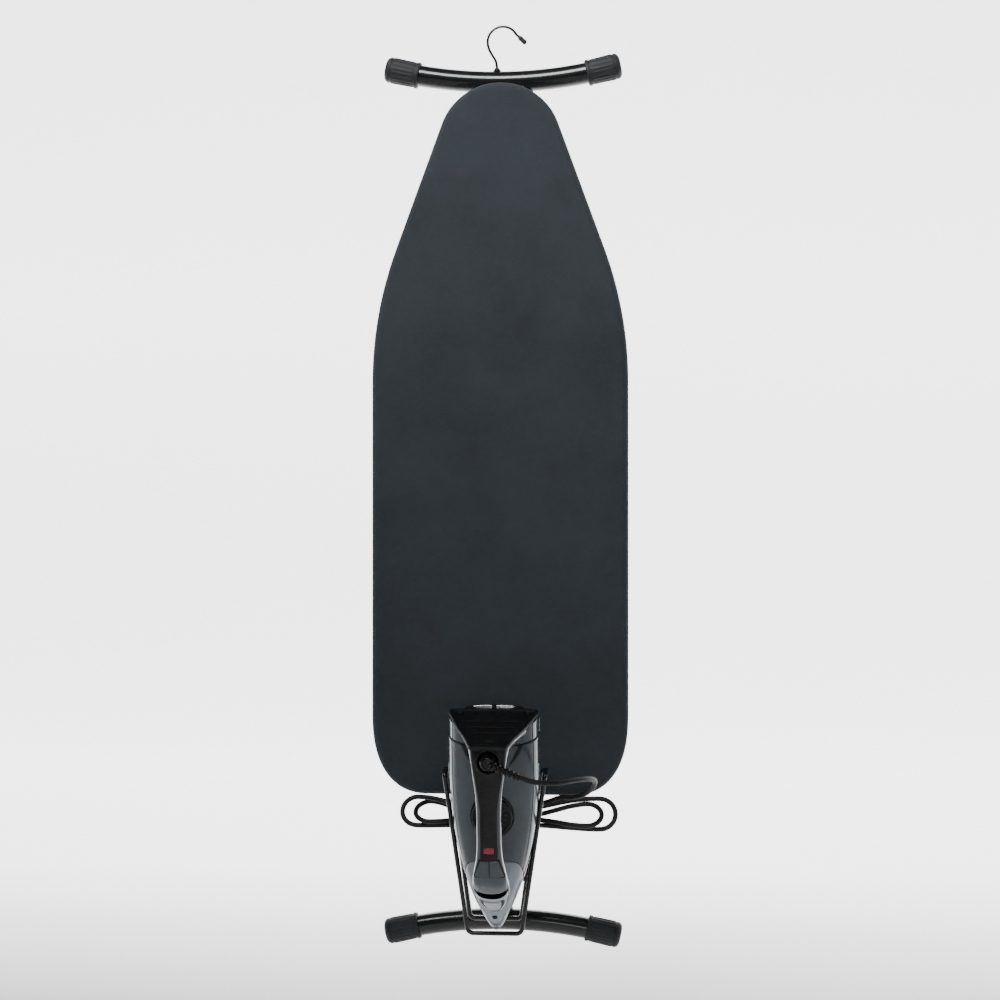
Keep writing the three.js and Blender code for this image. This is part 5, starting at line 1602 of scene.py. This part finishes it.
def build_buttons():
    rows, columns = 34, 26
    for name, side in (("steam_button", -1), ("spray_button", 1)):

        def place(i, j):
            s, t = i / rows, j / columns
            u = lerp(BUTTON_U[0] + 0.15, BUTTON_U[1] - 0.15, s)
            x = side * lerp(0.55, button_half(u) - 0.35, t)
            p, _ = outer_at(q_of_u(u), x)
            worn = 0.7 * (1 - smoothstep(t, 0, 0.08)) + 0.9 * smoothstep(t, 0.9, 1)
            worn += 0.7 * smoothstep(s, 0.94, 1) + 0.3 * smoothstep(-s, -0.05, 0)
            dish = 0.7 * math.exp(-(((u - 113) / 6) ** 2) - ((abs(x) - 8) / 5) ** 2)
            way = Vector((0, -1, 0))
            return p - way * (0.9 - worn - dish), way

        patch(name + "_cap", rows, columns, place, 4.2, GREY_GLOSS, name, name)


def build_gaps():
    """Strips of painted shade in the gaps: down both sides of the buttons and over their top, and round the
    filler tongue.
    """
    low, high = BUTTON_U[0] - 0.5, BUTTON_U[1] + 0.9
    side = [(button_half(u) + 0.75, u) for u in (lerp(low, high, k / 12) for k in range(13))]
    top = [(lerp(side[-1][0], -side[-1][0], k / 10), high) for k in range(1, 10)]
    path = [(x, q_of_u(u)) for x, u in side + top + [(-x, u) for x, u in reversed(side)]]
    # painted shade in the gap round the buttons
    inlay("button_gap_shade", path, lambda t: 1.5)
    q0, q1 = TONGUE_Q
    path = []
    for k in range(45):
        a = lerp(-1.0, 1.0, k / 44)
        t = 1.1 - 1.2 * math.sqrt(max(1 - abs(a) ** 2.6, 0))
        path.append((math.copysign(min(abs(a) * 16.5, tongue_half(clamp(t)) + 1.9), a), lerp(q0, q1, t)))
    # painted shade round the tongue, widest at its top corners
    inlay("filler_gap_shade", path, lambda t: 1.7 + 3.2 * smoothstep(abs(t - 0.5), 0.36, 0.5))


def build_flap():
    """Tongue-shaped filler cover on the front slope, a near-black sheet of painted shade for its opening
    under it, and the spray nozzle below.
    """
    rows, columns = 26, 24
    q0, q1 = TONGUE_Q

    def place(i, j):
        t, share = i / rows, 2 * j / columns - 1
        side = abs(share)
        q = lerp(q0, q1, t) + 0.84 * (1 - share**2) * smoothstep(t, 0.6, 1)
        p, way = outer_at(q, tongue_half(t) * share)
        lift = 1.3 - smoothstep(side, 0.82, 1) - 0.8 * smoothstep(t, 0.93, 1)
        lift -= 0.9 * (1 - smoothstep(t, 0, 0.08))
        smile = math.exp(-(((t - 0.3 - 0.10 * share**2) / 0.035) ** 2)) * (1 - smoothstep(side, 0.4, 0.55))
        return p - way * (lift - 0.7 * smile), way

    def under(i, j):
        p, way = outer_at(lerp(q0, q1, 0.04 + 0.9 * i / 12), (tongue_half(i / 12) - 1.2) * (j / 6 - 1))
        return p - way * 0.12, way

    patch("filler_tongue", rows, columns, place, 1.0, NOSE_GREY, "filler_flap", "filler_flap")
    # painted shade: a near-black sheet under the tongue
    patch("filler_opening_shade", 12, 12, under, 0.5, DARK_PLASTIC_AND_SHADE, "iron")
    _, h, u = dome(25.4, math.pi / 2)
    tip = [(0, -3), (3.4, -3), (3.4, 0.9), (3.0, 1.5), (2.0, 1.7), (1.3, 1.3), (0.9, -0.2), (0, -0.4)]
    s = Shape().lathe(tip, at_iron(0, h - 0.4, u), iron_way(0, 1, -0.75), sides=32)
    s.make("nozzle_tip", DARK_PLASTIC_AND_SHADE, body="iron", node="spray_nozzle", sharp=35)


# ------------------------------------------------------------------ iron: dial, heel, ball and boot
def build_dial():
    u0, h0 = 163, 58.7
    up, side = iron_way(0, 1, 0), iron_way(1, 0, 0)
    profile = [
        (0, 0), (24.4, 0), (24.9, 0.4), (24.9, 1.6), (25.3, 2.0), (25.3, 5.6), (24.7, 6.6), (23.2, 7.2)
    ]
    profile += [(21.6, 7.0), (20.8, 6.3), (12, 6.1), (0, 6.1)]

    def knurl(a, r, t):
        return 1 - 0.012 * (0.5 + 0.5 * math.cos(a * 60)) * (1 if r > 24.6 and 1.8 < t < 6 else 0)

    s = Shape().lathe(dense(profile, 1.6), at_iron(0, h0, u0), up, sides=240, start=side, wobble=knurl)
    s.make("dial_wheel", BLACK_PLASTIC, body="temperature_dial", node="temperature_dial", sharp=38)
    marks = Shape()
    for k in range(9):
        a, w = math.radians(-50 + k * 20), 0.35 + 0.09 * k
        c, n = math.cos(a), math.sin(a)
        corners = [
            (c * r - n * q, u0 + n * r + c * q)
            for r, q in ((15.5, -w), (15.5, w), (19.4, w), (19.4, -w))
        ]
        marks.prism(corners, lambda p, q, h: at_iron(p, h, q), h0 + 5.9, h0 + 6.35)
    marks.make("dial_marks", MARK, body="temperature_dial", bevel=0.08)
    bezel = [
        (25.9, -0.9), (27.6, -0.9), (28.2, -0.5), (28.2, 0.0), (27.6, 0.7), (26.4, 0.8), (25.9, 0.3),
        (25.9, -0.9)
    ]
    ring = Shape().lathe(bezel, at_iron(0, h0 - 0.2, u0), up, sides=96, start=side)
    ring.make("dial_bezel", BLACK_PLASTIC, body="iron", slot="grey_gloss", sharp=45)


def build_heel():
    """Heel rest: a matt plate with a turned edge, a shallow tray, two screws, ribs and a small catch."""
    low, high = 11, 117

    def rear(h, out):
        return IRON_LENGTH - 3 - h * HEEL_LEAN + out

    def outline(inset):
        out = []
        for h in spaced(low, high, 60):
            cut = 0
            for d, r in ((h - low, 5.0), (high - h, 7.0)):
                if d < r:
                    cut = max(cut, r - math.sqrt(max(r * r - (r - d) ** 2, 0)))
            out.append((max(look_up(HEEL_HALF, h) - cut - inset, 0.5), clamp(h, low + inset, high - inset)))
        return out + [(-x, h) for x, h in reversed(out)]

    levels = [
        (0.6, -0.4), (0, 0.3), (0, 2.6), (0.35, 3.4), (1.2, 3.9), (2.4, 4.0), (3.6, 3.8), (4.6, 2.9),
        (6.5, 2.7), (16, 2.7)
    ]
    plate = Shape().rings([[at_iron(x, h, rear(h, out)) for x, h in outline(inset)] for inset, out in levels])
    plate.make("heel_rest_plate", HEEL_PLASTIC, body="iron", node="heel_plate", sharp=45)
    lean = math.atan(HEEL_LEAN)
    normal = iron_way(0, math.sin(lean), math.cos(lean))
    dark, metal = Shape(), Shape()
    cup = [(0, 0.06), (3.4, 0.06), (3.9, 0.3), (4.8, 0.9), (5.2, 1.0), (5.4, 0.6), (5.4, -0.6), (0, -0.6)]
    head = [(0, 0.1), (1.0, 0.1), (1.0, 0.5), (2.6, 0.45), (2.9, 0.1), (2.9, -0.2), (0, -0.2)]
    for x in (-43, 43):
        centre = at_iron(x, 20.5, rear(20.5, 2.7))
        dark.lathe(cup, centre, normal, sides=36)
        metal.lathe(head, centre, normal, sides=30)
    bars = [(h, look_up(HEEL_HALF, h) - 15, 2.6, 0.8, 14) for h in (44, 60, 76)]
    for h, w, out, r, sides in bars + [(99, 4.5, 2.8, 1.6, 16)]:
        dark.tube([at_iron(x, h, rear(h, out)) for x in (-w, 0, w)], r, sides=sides)
    dark.make("heel_ribs", DARK_PLASTIC_AND_SHADE, body="iron", sharp=40)
    metal.make("heel_screws", BLACK_COAT, body="iron", sharp=35)


def build_boot():
    """Ball joint with its raised ring, and the ribbed strain relief that the cord leaves by."""
    centre, up = at_iron(0, BALL_H, BALL_U), iron_way(0, 1, 0)
    ball = [(11.6 * math.cos(a), 11.6 * math.sin(a)) for a in spaced(-math.pi / 2, math.pi / 2, 28)]
    s = Shape().lathe([(0, -11.6), *ball[1:-1], (0, 11.6)], centre, up, sides=64)
    hub = [(0, 7.0), (8.8, 7.0), (8.8, 10.2), (8.1, 11.4), (6.6, 12.2), (5.6, 12.0), (5.0, 11.2), (0, 11.0)]
    s.lathe(hub, centre, up, sides=56)
    bead = [(-1.6, 0), (-0.7, 0.4), (-0.1, 1.2), (0, 2.1), (-0.1, 3.0), (-0.7, 3.8), (-1.6, 4.2), (-1.9, 5.3)]
    ribs = [(0, 2), (5.6, 2), (5.6, 5)]
    t = 5.6
    while t < BOOT_LENGTH - 6:
        r = lerp(6.3, 4.7, (t - 5.6) / (BOOT_LENGTH - 12))
        ribs += [(r + drop, t + step) for drop, step in bead]
        t += 5.9
    ribs += [(4.2, t), (4.2, BOOT_LENGTH - 1), (3.9, BOOT_LENGTH - 0.3), (3.3, BOOT_LENGTH), (0, BOOT_LENGTH)]
    s.lathe(ribs, boot_start, boot_axis, sides=40)
    s.make("boot_and_ball", BOOT_RUBBER, body="cord_boot", node="cord_boot", sharp=42)


build_sole()
build_housing()
build_handle()
build_grip()
build_buttons()
build_gaps()
build_flap()
build_dial()
build_heel()
build_boot()
